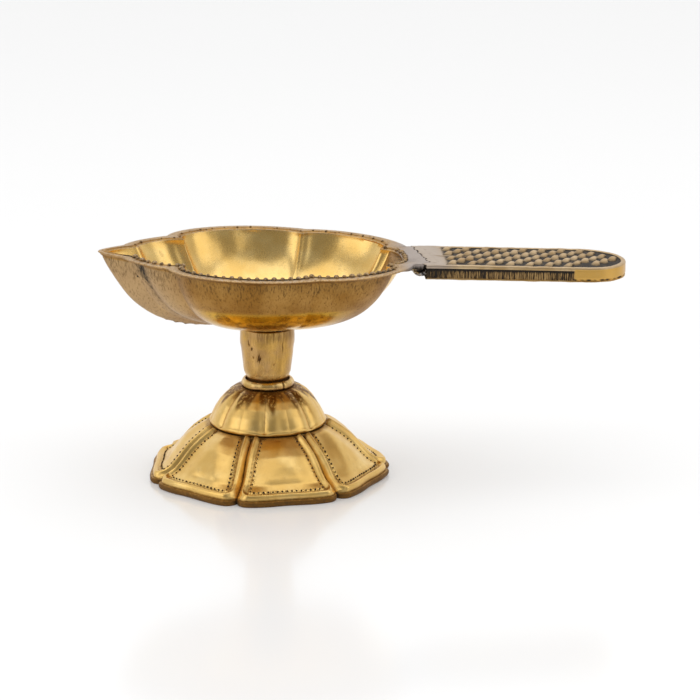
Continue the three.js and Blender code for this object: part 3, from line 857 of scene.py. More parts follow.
class PetalShape:
    def __init__(self):
        self.radius = footRadius
        self.height = footHigh[2]
        corners = [(self.radius * r, self.height * z) for r, z in petalSection]
        self.section = softLine(corners, 0.3, 0.7)
        steps = np.linalg.norm(np.diff(self.section, axis=0), axis=1)
        along = np.concatenate([[0], np.cumsum(steps)])
        lipHeight = 0.135 * self.height
        lip = int(np.argmin(np.abs(self.section[:, 1] - lipHeight)))
        self.above = along[lip] - along
        self.normals = sectionNormals(self.section[::-1])[::-1]

    # Angle from the nearest groove, in radians
    def fromGroove(self, angles):
        pitch = 2 * math.pi / petals["count"]
        turn = np.mod(np.asarray(angles) - math.radians(petals["turn"]) + pitch / 2, pitch)
        return turn - pitch / 2

    # The edge's reach as a share of the foot's radius
    def edgeShare(self, angles):
        pitch = 2 * math.pi / petals["count"]
        off = np.abs(self.fromGroove(angles))
        spread = math.radians(petals["cornerSpread"])
        middle = pitch / 2 - off
        straight = math.cos(pitch / 2 - spread) / np.cos(middle)
        straight = straight - petals["bow"] / self.radius * bellAt(middle, 0, pitch / 5)
        corner = 1.022 - petals["notch"] / self.radius * np.clip(1 - off / spread, 0, 1) ** 1.7
        soft = petals["soft"] / self.radius
        share = -soft * np.log(np.exp(-straight / soft) + np.exp(-corner / soft))
        return 0.35 + 0.65 * (share + soft * 0.6)

    def grid(self, angles):
        base = turnedGrid(self.section, angles)
        down = smoothStep(0.55, 1, self.section[:, 0] / self.radius)[:, None]
        scale = 1 - down * (1 - self.edgeShare(angles))[None]
        base[..., 0] *= scale
        base[..., 1] *= scale
        side = np.abs(self.fromGroove(angles))[None] * self.section[:, :1]
        above = np.broadcast_to(self.above[:, None], side.shape)
        frameLine = self.frameDistance(side, above)
        fade = smoothStep(0, 3, self.above[:1].max() - above + 0.6)
        inPanel = (above > 0) * 1.0
        rounded = petals["ridge"] * bellAt(frameLine, petals["ridgeLine"], 0.82)
        hollow = petals["valley"] * bellAt(frameLine, petals["ridgeLine"] + 1.35, 0.55)
        crown = petals["crown"] * smoothStep(4.6, 10.5, side) * smoothStep(2.5, 9, above)
        height = (rounded - hollow) * inPanel + crown * fade
        height = height - petals["groove"] * np.exp(-side / 0.5) * smoothStep(-3.2, -1.4, above)
        height = height - 0.6 * bellAt(above, 0.1, 0.4) * smoothStep(0.2, 1.2, side)
        height = height + 0.18 * bellAt(above, -1.3, 0.7)
        pushOut(base, self.normals, angles, height)
        base[..., 2] = np.maximum(base[..., 2], 0)
        # darker in the grooves between petals, in the valley inside each frame, at the lip step and along the
        # bottom band; the top band, under the dome's overhang, is a painted shadow
        grime = (
            0.6 * np.exp(-side / 0.3)
            + 0.3 * bellAt(frameLine, petals["ridgeLine"] + 1.5, 0.45) * inPanel
            + 0.5 * bellAt(above, 0.1, 0.35)
            + 0.62 * smoothStep(0.1, -0.8, above)
            + 0.35 * smoothStep(2.2, 0.2, self.above[0] - above)
        )
        wear = (bellAt(frameLine, petals["ridgeLine"], 0.5) + 0.5 * bellAt(above, -1.3, 0.7)) * 0.6
        sand = bellAt(frameLine, petals["dotLine"], 0.8) * inPanel
        return base, np.clip(grime, 0, 1), np.clip(wear, 0, 1), np.clip(sand, 0, 1)

    # Distance from the petal's frame line, round its lower corners
    def frameDistance(self, side, above):
        r = petals["cornerRadius"]
        rounded = r - np.hypot(np.maximum(0, r - side), np.maximum(0, r - above))
        return np.where((side < r) & (above < r), rounded, np.minimum(side, above))


def makeFoot(material, recipe):
    shape = PetalShape()

    def density(angles):
        return 1 + 3.2 * bellAt(np.abs(shape.fromGroove(angles)) * 33, 0, 4.2)

    angles = crowdedAngles(density, 630)
    outer, grime, wear, sand = shape.grid(angles)
    plate = footHigh[2] - 2.2
    ring = 2.3
    inner = [
        (shape.radius - 0.6, 0.0),
        (shape.radius - ring, 0.0),
        (shape.radius - ring - 0.5, 0.9),
        (shape.radius * 0.85, 1.9),
        (shape.radius * 0.78, 4.4),
        (shape.radius * 0.72, 8.2),
        (shape.radius * 0.64, 11.6),
        (shape.radius * 0.52, plate),
        (clearBore, plate),
        (clearBore, footHigh[2] - 0.02),
        (shape.radius * 0.5, footHigh[2] - 0.02),
    ]
    inside = turnedGrid(softLine(inner, 0.8, 0.5), angles)
    scale = 1 - smoothStep(0.55, 0.95, np.hypot(inside[:, 0, 0], inside[:, 0, 1]) / shape.radius)[
        :, None
    ] * (1 - shape.edgeShare(angles))
    inside[..., 0] *= scale
    inside[..., 1] *= scale
    grid = np.concatenate([outer, inside[1:-1]])
    grid[: len(outer)] += (unevenness(outer, 9, 8) * 0.06)[..., None] * np.array([1, 1, 0])
    tail = np.zeros((len(inside) - 2, len(angles)))
    masks = {
        "grime": np.concatenate([grime, tail + 0.35]),
        "wear": np.concatenate([wear, tail]),
        "sand": np.concatenate([sand, tail]),
        "drips": np.zeros(grid.shape[:2]),
    }
    obj = skinOver("petalFoot", material, grid, "joined", masks=masks, sharpAngle=44)
    lines = []
    for petal in range(petals["count"]):
        lines.append(dotLine(shape, petal))
    values = {
        "Pitch": petals["dotPitch"] * mm,
        "Bead": [c * mm for c in petals["dot"]],
        "Unevenness": 0.35,
        "Seed": 9,
        "Wear": 0.0,
        "Grime": 0.85,
        "Material": material,
    }
    return obj, recipe.make("petalDots", lineMesh("petalDotLines", lines), values)


# The line of dots inside a petal's frame: down one side, along the bottom and up the other
def dotLine(shape, petal):
    pitch = 2 * math.pi / petals["count"]
    first = math.radians(petals["turn"]) + petal * pitch
    inset = petals["dotLine"]
    top = shape.above[0] - 2.2
    corner = 1.6
    radii = np.interp(-np.linspace(top, inset, 40), -shape.above, shape.section[:, 0])
    points = []
    for above, radius in zip(np.linspace(top, inset + corner * 0.4, 40), radii):
        points.append((first + inset / radius, above))
    radius = radii[-1]
    for share in np.linspace(0, 1, 40):
        margin = (inset + 0.5) / radius
        points.append((first + margin + share * (pitch - 2 * margin), inset))
    for above, radius in zip(np.linspace(top, inset + corner * 0.4, 40)[::-1], radii[::-1]):
        points.append((first + pitch - inset / radius, above))
    line = []
    for angle, above in points:
        r = np.interp(-above, -shape.above, shape.section[:, 0])
        z = np.interp(-above, -shape.above, shape.section[:, 1])
        down = smoothStep(0.55, 1, r / shape.radius)
        r = r * (1 - down * (1 - float(shape.edgeShare(np.array([angle]))[0]))) + 0.05
        line.append((r * math.sin(angle), -r * math.cos(angle), z + 0.05))
    return line


# ---- the foot's upper tier


dome = {
    "flutes": 7,
    "turn": -5.8,  # degrees, the first crease counted from -Y towards +X
    "crease": 0.5,
    "halfCrease": 0.22,
    "wall": 1.8,
}

# The dome's outside as shares of its own radius and height
domeSection = [
    (0.40, 1.0),
    (0.455, 1.0),
    (0.58, 0.93),
    (0.70, 0.785),
    (0.80, 0.61),
    (0.884, 0.40),
    (0.935, 0.235),
    (0.955, 0.15),
    (0.975, 0.10),
    (0.995, 0.075),
    (1.0, 0.03),
    (0.985, 0.0),
]


def makeDome(material):
    pitch = 2 * math.pi / dome["flutes"]

    def fromCrease(angles, count, turn):
        step = 2 * math.pi / count
        return np.mod(np.asarray(angles) - turn + step / 2, step) - step / 2

    turn = math.radians(dome["turn"])

    def density(angles):
        return 1 + 3 * bellAt(fromCrease(angles, dome["flutes"] * 2, turn) * 17, 0, 1.6)

    angles = crowdedAngles(density, 560)
    height = domeHigh[2] - domeLow[2]
    corners = [(domeHigh[1] * r, domeLow[2] + height * z) for r, z in domeSection]
    outer = softLine(corners, 0.2, 0.5)
    wall = dome["wall"]
    inner = [(domeHigh[1] * 0.985 - 0.5, domeLow[2])]
    inner += [(domeHigh[1] * r - wall, domeLow[2] + (height - wall) * z) for r, z in domeSection[::-1][3:]]
    inner += [(clearBore, domeHigh[2] - wall), (clearBore, domeHigh[2])]
    inner = softLine(inner, 0.6, 0.4)
    section = np.vstack([outer, inner[1:]])
    grid = turnedGrid(section, angles)
    normals = sectionNormals(outer[::-1])[::-1]
    r = outer[:, :1]
    main = np.abs(fromCrease(angles, dome["flutes"], turn))[None] * r
    half = np.abs(fromCrease(angles, dome["flutes"], turn + pitch / 2))[None] * r
    down = smoothStep(0.42, 0.7, r / domeHigh[1]) * smoothStep(0.0, 0.8, outer[:, 1:] - domeLow[2] - 0.4)
    lobes = 0.45 * np.sin(np.clip(main / (r * pitch / 4), 0, 1) * math.pi / 2)
    creases = dome["crease"] * np.exp(-main / 1.7) + dome["halfCrease"] * np.exp(-half / 1.5)
    height = down * (lobes - creases)
    pushOut(grid[: len(outer)], normals, angles, height)
    grid[: len(outer), :, :2] *= 0.985
    above = outer[:, 1:] - domeLow[2]
    top = outer[:, 1:].max()
    fringe = 0.7 + 0.3 * np.sin(angles * 9 + 1.3) + 0.2 * np.sin(angles * 23)
    drips = smoothStep(0, 1, (outer[:, 1:] - (top - 5.6 * fringe[None])) / 2.6)
    # painted shade along the creases, a painted shadow line at the lower edge, and painted shade on the crown under
    # the collar
    grime = 0.35 * np.exp(-main / 0.35) * down + 0.1 * bellAt(half, 0, 0.6) * down
    crown = 0.3 * smoothStep(top - 0.5, top - 0.1, outer[:, 1:])
    grime = grime + 0.7 * smoothStep(0.3, 0.05, above) + crown
    wear = np.broadcast_to(0.9 * bellAt(above, 0.95, 0.5), grime.shape)
    tail = np.zeros((len(inner) - 1, len(angles)))
    masks = {
        "grime": np.concatenate([np.clip(grime, 0, 1), tail + 0.4]),
        "wear": np.concatenate([wear, tail]),
        "drips": np.concatenate([drips, tail]),
        "sand": np.zeros(grid.shape[:2]),
    }
    return skinOver("flutedDome", material, grid, "joined", masks=masks, sharpAngle=44)


# ---- stem and collar

def angleFrom(angles, degrees):
    return np.mod(angles - math.radians(degrees) + math.pi, 2 * math.pi) - math.pi


stem = {
    "columns": 260,
    "footRadius": 6.45,
    "topSpare": 0.3,  # how much wider the top is drawn than its node
    # casting flaws: degrees from -Y towards +X, height above the foot, tallness, width, depth
    "flaws": [
        (-21, 9.6, 1.6, 0.16, 0.5),
        (-24, 9.0, 0.7, 0.22, 0.4),
        (-18, 9.4, 0.8, 0.14, 0.4),
        (-38, 12.4, 0.6, 0.28, 0.4),
        (-47, 14.3, 1.3, 0.16, 0.35),
        (-43, 13.6, 0.5, 0.2, 0.3),
        (-36, 9.6, 0.5, 0.35, 0.25),
        (12, 7.4, 0.4, 0.3, 0.2),
        (33, 13.2, 2.6, 0.18, 0.25),
        (120, 9.0, 1.8, 0.3, 0.35),
        (176, 12.5, 1.1, 0.4, 0.35),
        (238, 6.8, 1.5, 0.3, 0.3),
    ],
}


def makeStem(material):
    lowRadius, topRadius = stem["footRadius"], stemHigh[1] + stem["topSpare"]
    rise = stemHigh[2] - stemLow[2]
    corners = [
        (clearBore, 0.0),
        (lowRadius - 0.2, 0.0),
        (lowRadius, 0.2),
        (lowRadius + 0.05, 1.6),
        (lowRadius + 0.45, 2.3),
        (lowRadius + 0.95, 3.9),
        (lowRadius + 1.25, 5.9),
        (lowRadius + 1.55, 9.0),
        (topRadius - 0.2, 13.0),
        (topRadius, rise - 0.2),
        (topRadius - 0.2, rise),
        (clearBore, rise),
    ]
    section = softLine([(r, stemLow[2] + z) for r, z in corners], 0.2, 0.3, closed=True)
    angles = np.linspace(0, 2 * math.pi, stem["columns"], endpoint=False)
    grid = turnedGrid(section, angles)
    normals = sectionNormals(section, closed=True)
    above = section[:, 1:] - stemLow[2]
    outside = (section[:, :1] > lowRadius - 0.1) * smoothStep(0.3, 1.2, above)
    flaws = np.zeros(grid.shape[:2])
    for degrees, z, tall, wide, deep in stem["flaws"]:
        off = angleFrom(angles, degrees)
        wander = 0.1 * np.sin(above * 2.3 + degrees)
        mark = bellAt(off[None] * topRadius + wander, 0, wide) * bellAt(above, z, tall)
        flaws = np.maximum(flaws, mark * deep / 0.5)
    waves = unevenness(grid, 6, 15) * 0.07 + unevenness(grid, 1.8, 16) * 0.02
    pushOut(grid, normals, angles, (waves - flaws * 0.45) * outside)
    facing = bellAt(angleFrom(angles, 20), 0, 0.75)
    stain = smoothStep(rise - 5, rise - 1.5, above) * (0.25 + 0.75 * facing[None])
    stain = np.maximum(stain, 0.12 * facing[None] * smoothStep(3, 6, above))
    # the bottom of the stem, down in the collar's recess, carries a painted shadow; the flaws are darkened too
    grime = flaws * 1.3 * outside + smoothStep(2.2, 1.4, above) * 0.7
    masks = {"grime": np.clip(grime, 0, 1), "wear": bellAt(above, 3.2, 0.6) * 0.4 * outside, "stain": stain}
    return skinOver("stem", material, grid, "joined", masks=masks, sharpAngle=40)


collar = {"nick": 36, "nickWidth": 0.3, "nickDepth": 0.25}


def makeCollar(material):
    low, high, outerRadius = collarLow[2], collarHigh[2], collarHigh[1]
    corners = [
        (clearBore, low),
        (outerRadius - 0.1, low),
        (outerRadius, low + 0.5),
        (outerRadius - 0.02, low + 1.0),
        (outerRadius - 0.35, low + 1.7),
        (outerRadius - 0.8, high - 0.02),
        (outerRadius - 1.25, high - 0.15),
        (outerRadius - 1.5, high - 0.7),
        (outerRadius - 1.52, low + 0.5),
        (clearBore, low + 0.5),
    ]
    section = softLine(corners, 0.12, 0.28, closed=True)
    angles = np.linspace(0, 2 * math.pi, 240, endpoint=False)
    grid = turnedGrid(section, angles)
    normals = sectionNormals(section, closed=True)
    outside = smoothStep(outerRadius - 1.4, outerRadius - 0.9, section[:, :1])
    off = angleFrom(angles, collar["nick"])
    nick = bellAt(off[None] * outerRadius, 0, collar["nickWidth"])
    waves = unevenness(grid, 3, 18) * 0.07
    pushOut(grid, normals, angles, (waves - nick * collar["nickDepth"]) * outside)
    above = section[:, 1:] - low
    inward = smoothStep(outerRadius - 1.0, outerRadius - 1.4, section[:, :1])
    # the inner recess round the stem's foot carries a painted shadow; the nick and the bottom edge are darker too
    grime = 0.75 * nick + 0.4 * smoothStep(0.4, 0.1, above) + 0.45 * inward
    masks = {
        "grime": np.clip(grime * 0.9, 0, 1),
        "wear": bellAt(above, 1.6, 0.5) * outside * 0.75,
        "stain": np.zeros(grid.shape[:2]),
    }
    return skinOver("stemCollar", material, grid, "joined", masks=masks, sharpAngle=44)


# ---- the handle


handle = {
    "under": 1.9,  # how far the body below the top plate reaches under the neck
    "border": 1.5,
    "fieldDrop": 0.35,  # how far the field of scales lies below the border
    "lip": 1.15,
    "recess": 0.5,
    "band": 18.0,  # the plain proud stretch at the end
    "smoothStart": 5.6,
    "scalePitch": 6.05,
    "rowPitch": 3.15,
    "scale": (6.4, 4.3, 1.25),
    "scaleLean": 48,  # degrees
    "margin": 3.85,
    "farMargin": 3.6,
}


class HandleShape:
    def __init__(self):
        self.start = handleLow[0]
        self.end = handleHigh[0]
        self.half = handleHigh[1] + 0.35
        self.thick = 4.6

    def top(self, x):
        return rimTop - rimFall * np.asarray(x) - 0.3 * smoothStep(self.start, self.end, x)

    # The plan outline, drawn in by the inset, from the middle of the seam by the near side. The
    # top plate starts along the ragged seam, and what is below it starts straight.
    def plan(self, inset, ragged=True, count=160):
        half = self.half - inset
        end = self.end - inset

        def begins(y):
            straight = np.full(np.shape(y), self.start - handle["under"])
            return (seamAt(y) + 0.1 if ragged else straight) + min(inset, 3)

        across = np.linspace(0, -half, 30, endpoint=False)
        seam = np.stack([begins(across), across], 1)
        straight = np.linspace(begins(-half), end - half, count, endpoint=False)
        side = np.stack([straight, np.full(count, -half)], 1)
        turn = np.linspace(-math.pi / 2, 0, 48, endpoint=False)
        bend = np.stack([end - half + half * np.cos(turn), half * np.sin(turn)], 1)
        near = np.vstack([seam, side, bend])
        farSeam = np.stack([begins(-across), -across], 1)
        farSide = side * [1, -1]
        farSide[:, 0] = np.linspace(begins(half), end - half, count, endpoint=False)
        tip = np.array([(end, 0.0)])
        far = np.vstack([farSeam[1:], farSide, bend * [1, -1]])
        return np.vstack([near, tip, far[::-1]])


def makeHandle(material, scatter):
    shape = HandleShape()
    lip, thick, recess = handle["lip"], shape.thick, handle["recess"]
    border, field = handle["border"], handle["fieldDrop"]
    # rows from the middle of the top outwards, down the side and back under: inset, drop, kind
    rows = [(shape.half - 0.6, field - 0.1, "top")]
    rows += [(inset, field - 0.1 * smoothStep(1, 9, inset), "top") for inset in (11, 9, 7, 5, 3.6, 2.6)]
    rows += [(border + 0.35, field, "top"), (border + 0.1, field * 0.6, "top")]
    rows += [(border - 0.15, 0.03, "edge"), (0.9, 0.0, "edge"), (0.3, 0.02, "edge")]
    rows += [(0.08, 0.12, "edge"), (0.0, 0.32, "edge")]
    rows += [(0.0, lip * 0.6, "lip"), (0.05, lip - 0.12, "lip"), (0.3, lip, "side")]
    rows += [(recess, drop, "side") for drop in np.linspace(lip + 0.06, thick - 0.5, 14)]
    rows += [(0.3, thick - 0.42, "foot"), (0.12, thick - 0.3, "foot"), (0.1, thick - 0.12, "foot")]
    rows += [(0.3, thick, "under"), (2, thick, "under"), (6, thick, "under"), (10, thick, "under")]
    rows += [(shape.half - 0.6, thick, "under")]
    grid, kinds = [], []
    for inset, drop, kind in rows:
        ragged = kind in ("top", "edge", "lip")
        plan = shape.plan(0, ragged)
        x = plan[:, 0]
        inBand = smoothStep(shape.end - handle["band"] - 0.15, shape.end - handle["band"] + 0.15, x)
        if kind == "side":
            # the end band is not filed back, but for a ragged line near its bottom
            wavy = 0.55 + 0.25 * np.sin(x * 1.9) + 0.2 * np.sin(x * 4.3 + plan[:, 1])
            line = bellAt(drop, thick - 0.75, 0.22) * wavy
            filed = recess + 0.07 * np.sin(x * 8.7 + 2 * np.sin(x * 1.3)) + 0.05 * np.sin(x * 21)
            local = filed * (1 - inBand) + (0.02 + line * 0.35) * inBand
        else:
            local = np.full(len(x), float(inset))
        # every column keeps its own inset, so the outline is drawn in point by point
        steps = np.unique(np.round(local, 3))
        drawn = shape.plan(float(inset), ragged) if len(steps) == 1 else insetPlan(shape, local)
        top = shape.top(drawn[:, 0])
        smooth = smoothStep(shape.start + 0.6, shape.start + handle["smoothStart"], drawn[:, 0])
        level = drop * smooth if kind == "top" else drop
        grid.append(np.column_stack([drawn, top - level]))
        kinds.append(kind)
    grid = np.stack(grid)
    kinds = np.array(kinds)[:, None]
    x = grid[..., 0]
    inBand = smoothStep(shape.end - handle["band"] - 0.2, shape.end - handle["band"] + 0.2, x)
    inField = (kinds == "top") * smoothStep(shape.start + 4.2, shape.start + 6.2, x)
    side = (kinds == "side") * 1.0
    start = smoothStep(shape.start + 4, shape.start - 1, x)
    drops = np.array([r[1] for r in rows])[:, None]
    ragged = bellAt(drops, thick - 0.75, 0.3) * inBand * (0.5 + 0.5 * np.sin(x * 2.1) * np.sin(x * 0.9))
    underLip = bellAt(drops, lip + 0.25, 0.5) * (1 - inBand)
    # the field between the scales is black with patina and painted shade of the pits; the side is darker just under
    # the lip, at the start and along a ragged line in the band
    grime = inField * 0.85 + side * (underLip * 0.9 + start * 0.5 + ragged * 1.2)
    seam = (kinds != "under") * bellAt(x, seamAt(grid[..., 1]) + 0.1, 0.25) * 0.9
    masks = {
        "grime": np.clip(grime + seam, 0, 1),
        "wear": np.clip((kinds == "edge") * 0.9 + (kinds == "top") * (1 - inField) * 0.9, 0, 1),
        "filed": np.clip(side * (1 - inBand) + (kinds == "under") * 0.45, 0, 1),
        "band": np.clip((side + (kinds == "lip")) * inBand + (kinds == "foot") * 0.5, 0, 1),
        "neck": (side < 1) * smoothStep(shape.start + 10, shape.start + 3, x),
    }
    waves = unevenness(grid, 7, 25) * 0.05 + unevenness(grid, 1.6, 26) * 0.02
    grid[..., 2] += waves * ((kinds == "top") | (kinds == "edge") | (kinds == "under"))
    obj = skinOver("handle", material, grid, "flat", masks=masks, sharpAngle=40)
    return obj, makeScales(shape, material, scatter)


# The outline drawn in by a different amount at each point
def insetPlan(shape, inset):
    plain, drawn = shape.plan(0, False), shape.plan(1, False)
    return plain + (drawn - plain) * inset[:, None]


# One scale of the grip: it climbs from its tail to a blunt head, drawn in beside the pit
def scaleMesh(material):
    length, width, height = (c * mm for c in handle["scale"])
    points, cols, rows = [], 8, 6
    for i in range(cols):
        along = i / (cols - 1) * 2 - 1
        climb = (0.35 + 0.65 * float(smoothStep(-1, 0.3, along))) * (1 - max(0, (along - 0.3) / 0.7) ** 3)
        near = -1 + 0.75 * float(smoothStep(-0.35, 0.55, along))
        for j in range(rows):
            side = j / (rows - 1) * 2 - 1
            across = near + (1 - near) * (side + 1) / 2
            swell = climb * (1 - abs(side) ** 3) if 0 < i < cols - 1 else 0
            points.append((along * length / 2, across * width / 2, swell * height - 0.3 * mm))
    faces = []
    for i in range(cols - 1):
        for j in range(rows - 1):
            a = i * rows + j
            faces.append((a, a + rows, a + rows + 1, a + 1))
    border = [i * rows for i in range(cols)] + [(cols - 1) * rows + j for j in range(1, rows)]
    border += [i * rows + rows - 1 for i in range(cols - 2, -1, -1)] + [j for j in range(rows - 2, 0, -1)]
    faces.append(tuple(border[::-1]))
    mesh = bpy.data.meshes.new("scaleShape")
    mesh.from_pydata(points, [], faces)
    lean = Matrix.Rotation(math.radians(handle["scaleLean"]), 3, "Z")
    bm = bmesh.new()
    bm.from_mesh(mesh)
    bmesh.ops.rotate(bm, verts=bm.verts, matrix=lean)
    bmesh.ops.recalc_face_normals(bm, faces=bm.faces)
    bm.to_mesh(mesh)
    bm.free()
    # the low parts of each scale are darkened as painted shade, and the raised parts are lighter
    grime = mesh.attributes.new("grime", "FLOAT", "POINT")
    low = [max(0.0, 1 - (p[2] / mm + 0.3) / (handle["scale"][2] * 1.0)) for p in points]
    grime.data.foreach_set("value", np.array(low, np.float32) * 0.9 + 0.08)
    wear = mesh.attributes.new("wear", "FLOAT", "POINT")
    wear.data.foreach_set("value", 0.3 - 0.3 * np.array(low, np.float32))
    mesh.materials.append(material)
    return newObject("scaleShape", mesh)


def makeScales(shape, material, scatter):
    margin = handle["margin"]
    nearest, farthest = -shape.half + margin, shape.half - handle["farMargin"]
    rows = int((farthest - nearest) // handle["rowPitch"])
    places = []
    for row in range(rows + 1):
        y = nearest + row * handle["rowPitch"]
        x = shape.start + handle["smoothStart"] + 1.6 + (row % 2) * handle["scalePitch"] / 2
        while x < shape.end - margin:
            fromEnd = x - (shape.end - shape.half)
            limit = farthest if y > 0 else -nearest
            if fromEnd < 0 or math.hypot(fromEnd, y) < limit:
                places.append((x, y, float(shape.top(x)) - handle["fieldDrop"]))
            x += handle["scalePitch"]
    mesh = bpy.data.meshes.new("scalePlaces")
    mesh.from_pydata((np.array(places) * mm + [axisX, 0, 0]).tolist(), [], [])
    model = scaleMesh(material)
    values = {"Shape": model, "Turn": 0.12, "Unevenness": 0.16, "Seed": 12, "Material": material}
    made = scatter.make("gripScales", mesh, values)
    bpy.data.objects.remove(model)
    return made


# ---- the braze under the neck


braze = {
    "spreadLow": (2.1, 3.2, 0),  # how far the lump runs out past its node, (x, y, z)
    "spreadHigh": (0.2, 3.2, 1.0),
    "bluntness": 0.75,
}

def makeBraze(material):
    low, high = boxOf("handle_braze")
    low = low - braze["spreadLow"]
    high = high + braze["spreadHigh"]
    middle, half = (low + high) / 2, (high - low) / 2
    up = np.linspace(-1, 1, 40)[1:-1]
    turn = np.linspace(0, 2 * math.pi, 110, endpoint=False)
    grid = np.zeros((len(up), len(turn), 3))
    ring = np.abs(1 - np.abs(up) ** 2.6) ** (1 / 2.6)
    for axis, swing in enumerate((np.cos(turn), np.sin(turn))):
        blunt = np.sign(swing) * np.abs(swing) ** braze["bluntness"]
        grid[..., axis] = ring[:, None] * blunt * half[axis]
    grid[..., 2] = up[:, None] * half[2]
    bulge = 0.93 + 0.07 * unevenness(grid + 3, 3.1, 35) + 0.03 * unevenness(grid, 1.1, 36)
    grid = grid * np.minimum(bulge, 1.02)[..., None] + middle
    poles = [(middle[0], middle[1], low[2] + 0.1), (middle[0], middle[1], high[2] - 0.1)]
    return skinOver("brazeLump", material, grid, "poles", poles, None, sharpAngle=60)


# ---- the screw, washer and nut


screw = {"pitch": 1.0, "depth": 0.42, "chamfer": 0.6, "nutBore": 3.3, "nutSides": 192}


def threadRadius(radius, heights, angles, depth):
    phase = np.mod(heights / screw["pitch"] - angles[None] / (2 * math.pi), 1)
    return radius - depth * np.abs(phase * 2 - 1) ** 0.8


def makeStud(material):
    low, high = boxOf("centre_stud")
    heights = np.arange(low[2] + 0.02, high[2] - 0.02, 0.125)[:, None]
    angles = np.linspace(0, 2 * math.pi, 56, endpoint=False)
    radius = threadRadius(high[1], heights, angles, screw["depth"])
    ends = np.minimum(heights - low[2], high[2] - heights)
    radius = np.minimum(radius, high[1] - screw["chamfer"] + np.minimum(ends, screw["chamfer"]))
    grid = np.stack([radius * np.sin(angles), -radius * np.cos(angles), np.broadcast_to(heights, radius.shape)], -1)
    grime = np.clip((high[1] - radius) / screw["depth"] * 0.7, 0, 1)
    return skinOver("centreStud", material, grid, "flat", masks={"grime": grime}, sharpAngle=60)


def makeWasher(material):
    low, high = boxOf("clamp_washer")
    outer, bore = high[1], clearBore
    corners = [(bore, low[2]), (outer, low[2]), (outer, high[2]), (bore, high[2])]
    section = softLine(corners, 0.12, 0.22, closed=True)
    angles = np.linspace(0, 2 * math.pi, 160, endpoint=False)
    grid = turnedGrid(section, angles)
    grime = 0.5 * bellAt(section[:, :1], 5.4, 0.6)
    return skinOver("clampWasher", material, grid, "joined", masks={"grime": grime}, sharpAngle=40)


def makeNut(material):
    low, high = boxOf("hex_nut")
    flats = high[1] - low[1] if high[1] - low[1] < high[0] - low[0] else high[0] - low[0]
    turned = 0 if high[0] - low[0] > high[1] - low[1] else math.pi / 6
    sides = screw["nutSides"]
    angles = np.linspace(0, 2 * math.pi, sides, endpoint=False)
    toFlat = np.mod(angles + turned + math.pi / 6 + math.pi / 2, math.pi / 3) - math.pi / 6
    hexagon = flats / 2 / np.cos(toFlat)
    bore, rows = screw["nutBore"], []
    heights = np.linspace(low[2], high[2], 25)
    for z in heights:
        near = min(z - low[2], high[2] - z)
        limit = flats / 2 * 1.02 + near * 1.75
        rows.append(np.stack([np.minimum(hexagon, limit), np.full(sides, z)], 1))
    for z in np.arange(high[2], low[2], -0.125):
        near = min(z - low[2], high[2] - z)
        groove = 0.25 * np.abs(np.mod(z - angles / (2 * math.pi), 1) * 2 - 1)
        rows.append(np.stack([bore + groove + max(0, 0.5 - near), np.full(sides, z)], 1))
    rows = np.stack(rows)
    grid = np.stack([rows[..., 0] * np.sin(angles), -rows[..., 0] * np.cos(angles), rows[..., 1]], -1)
    grime = np.zeros(grid.shape[:2])
    grime[len(heights) :] = 0.7
    return skinOver("hexNut", material, grid, "joined", masks={"grime": grime}, sharpAngle=30)


# ---- room and camera


view = {
    "azimuth": -2.2,  # degrees round from straight in front, to the left
    "distance": 0.862,  # from the stem's axis along the floor
    "height": 0.275,
    "pitch": 15.27,
    "aim": 1.73,  # degrees turned to the right of the stem
    "lens": 145.8,
}


def placeCamera():
    camera = bpy.data.objects.new("camera", bpy.data.cameras.new("camera"))
    bpy.context.scene.collection.objects.link(camera)
    around = math.radians(view["azimuth"])
    camera.location = (
        axisX + math.sin(around) * view["distance"],
        -math.cos(around) * view["distance"],
        view["height"],
    )
    camera.rotation_euler = (math.radians(90 - view["pitch"]), 0, around - math.radians(view["aim"]))
    camera.data.lens = view["lens"]
    camera.data.sensor_width = 36
    camera.data.clip_start = 0.01
    bpy.context.scene.camera = camera


room = {
    # the studio's walls: bright behind the lamp, dim in front of it
    "sky": {"From Min": -0.5, "From Max": 0.7, "To Min": 0.29, "To Max": 1.0},
    "lights": {
        "overhead": ((0.0, -0.1, 1.1), (1.7, 1.2), 6.6),
        "leftSide": ((-1.1, -0.45, 0.45), (0.9, 0.8), 2.8),
        "rightSide": ((1.0, -0.35, 0.5), (0.6, 0.8), 1.7),
        "frontStrip": ((0.42, -1.25, 0.75), (0.25, 0.8), 0.55),
    },
    "floorSide": 5.0,  # half its width, in metres
    "floor": {"Base Color": (0.84, 0.84, 0.84, 1), "Roughness": 0.15, "IOR": 1.55},
    "floorGlow": {"Emission Color": (1, 1, 1, 1), "Emission Strength": 0.13},
}


def softbox(name, centre, size, power, target=(0, 0, 0.04)):
    light = bpy.data.lights.new(name, "AREA")
    light.shape = "RECTANGLE"
    light.size, light.size_y = size
    light.energy = power
    obj = bpy.data.objects.new(name, light)
    bpy.context.scene.collection.objects.link(obj)
    obj.location = centre
    obj.rotation_euler = (Vector(target) - Vector(centre)).to_track_quat("-Z", "Y").to_euler()


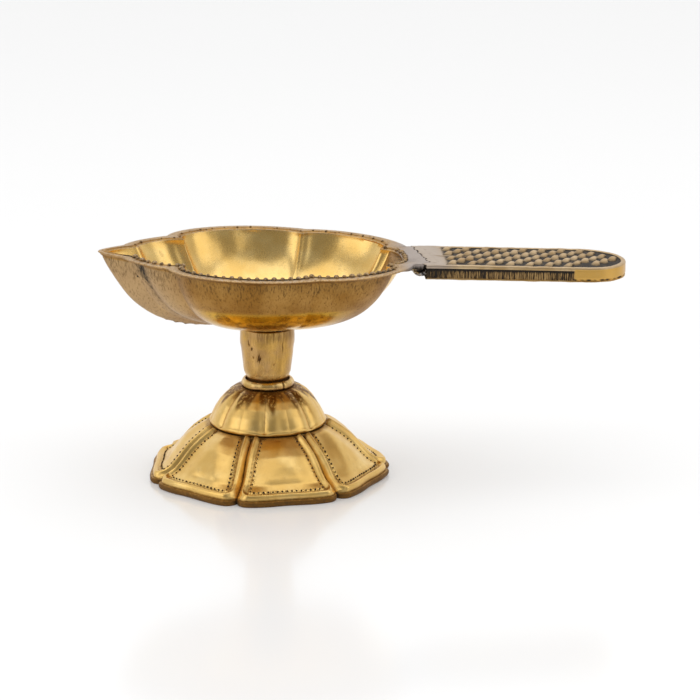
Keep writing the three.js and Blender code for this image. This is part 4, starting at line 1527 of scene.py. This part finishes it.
def makeRoom():
    mesh = bpy.data.meshes.new("floor")
    side = room["floorSide"]
    corners = [(-side, -side, 0), (side, -side, 0), (side, side, 0), (-side, side, 0)]
    mesh.from_pydata(corners, [], [(0, 1, 2, 3)])
    floor = newObject("floor", mesh)
    coat = Finish("floor_white")
    for label, value in {**room["floor"], **room["floorGlow"]}.items():
        coat.shader.inputs[label].default_value = value
    mesh.materials.append(coat.made)
    world = bpy.data.worlds.new("studio")
    world.use_nodes = True
    tree = world.node_tree
    where = tree.nodes.new("ShaderNodeTexCoord")
    parts = tree.nodes.new("ShaderNodeSeparateXYZ")
    ramp = tree.nodes.new("ShaderNodeMapRange")
    ramp.interpolation_type = "SMOOTHSTEP"
    for label, value in room["sky"].items():
        ramp.inputs[label].default_value = value
    tree.links.new(where.outputs["Generated"], parts.inputs[0])
    tree.links.new(parts.outputs["Y"], ramp.inputs["Value"])
    tree.links.new(ramp.outputs[0], tree.nodes["Background"].inputs["Strength"])
    tree.nodes["Background"].inputs["Color"].default_value = (1, 1, 1, 1)
    bpy.context.scene.world = world
    for name, (centre, size, power) in room["lights"].items():
        softbox(name, centre, size, power)
    bpy.context.scene.view_settings.view_transform = "Standard"


# ---- building


def hand(piece, body, node):
    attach(piece, body)
    if node:
        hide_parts(node)


placeCamera()
makeRoom()
print("camera and room")

finishes = {
    "bowl_brass": bowlFinish(),
    "stem_brass": stemFinish(),
    "foot_brass": footFinish(),
    "handle_brass": handleFinish(),
    "braze_metal": brazeFinish(),
    "fixing_steel": steelFinish(),
}
beadTree = beadRecipe()
scatterTree = scatterRecipe()
print("finishes")

bowlPiece, *beadPieces = makeBowl(finishes["bowl_brass"], beadTree)
hand(bowlPiece, "bowl", "oil_bowl")
for beadPiece in beadPieces:
    hand(beadPiece, "bowl", None)
print("bowl")

footPiece, dotPiece = makeFoot(finishes["foot_brass"], beadTree)
hand(footPiece, "pedestal", "petal_base")
hand(dotPiece, "pedestal", None)
hand(makeDome(finishes["foot_brass"]), "pedestal", "fluted_dome")
print("foot")

hand(makeStem(finishes["stem_brass"]), "bowl", "stem")
hand(makeCollar(finishes["stem_brass"]), "pedestal", "stem_collar")
print("stem")

handlePiece, scalesPiece = makeHandle(finishes["handle_brass"], scatterTree)
hand(handlePiece, "bowl", "handle")
hand(scalesPiece, "bowl", None)
hand(makeBraze(finishes["braze_metal"]), "bowl", "handle_braze")
print("handle")

hand(makeStud(finishes["fixing_steel"]), "screw", "centre_stud")
hand(makeWasher(finishes["fixing_steel"]), "pedestal", "clamp_washer")
hand(makeNut(finishes["fixing_steel"]), "pedestal", "hex_nut")
print("fixings")
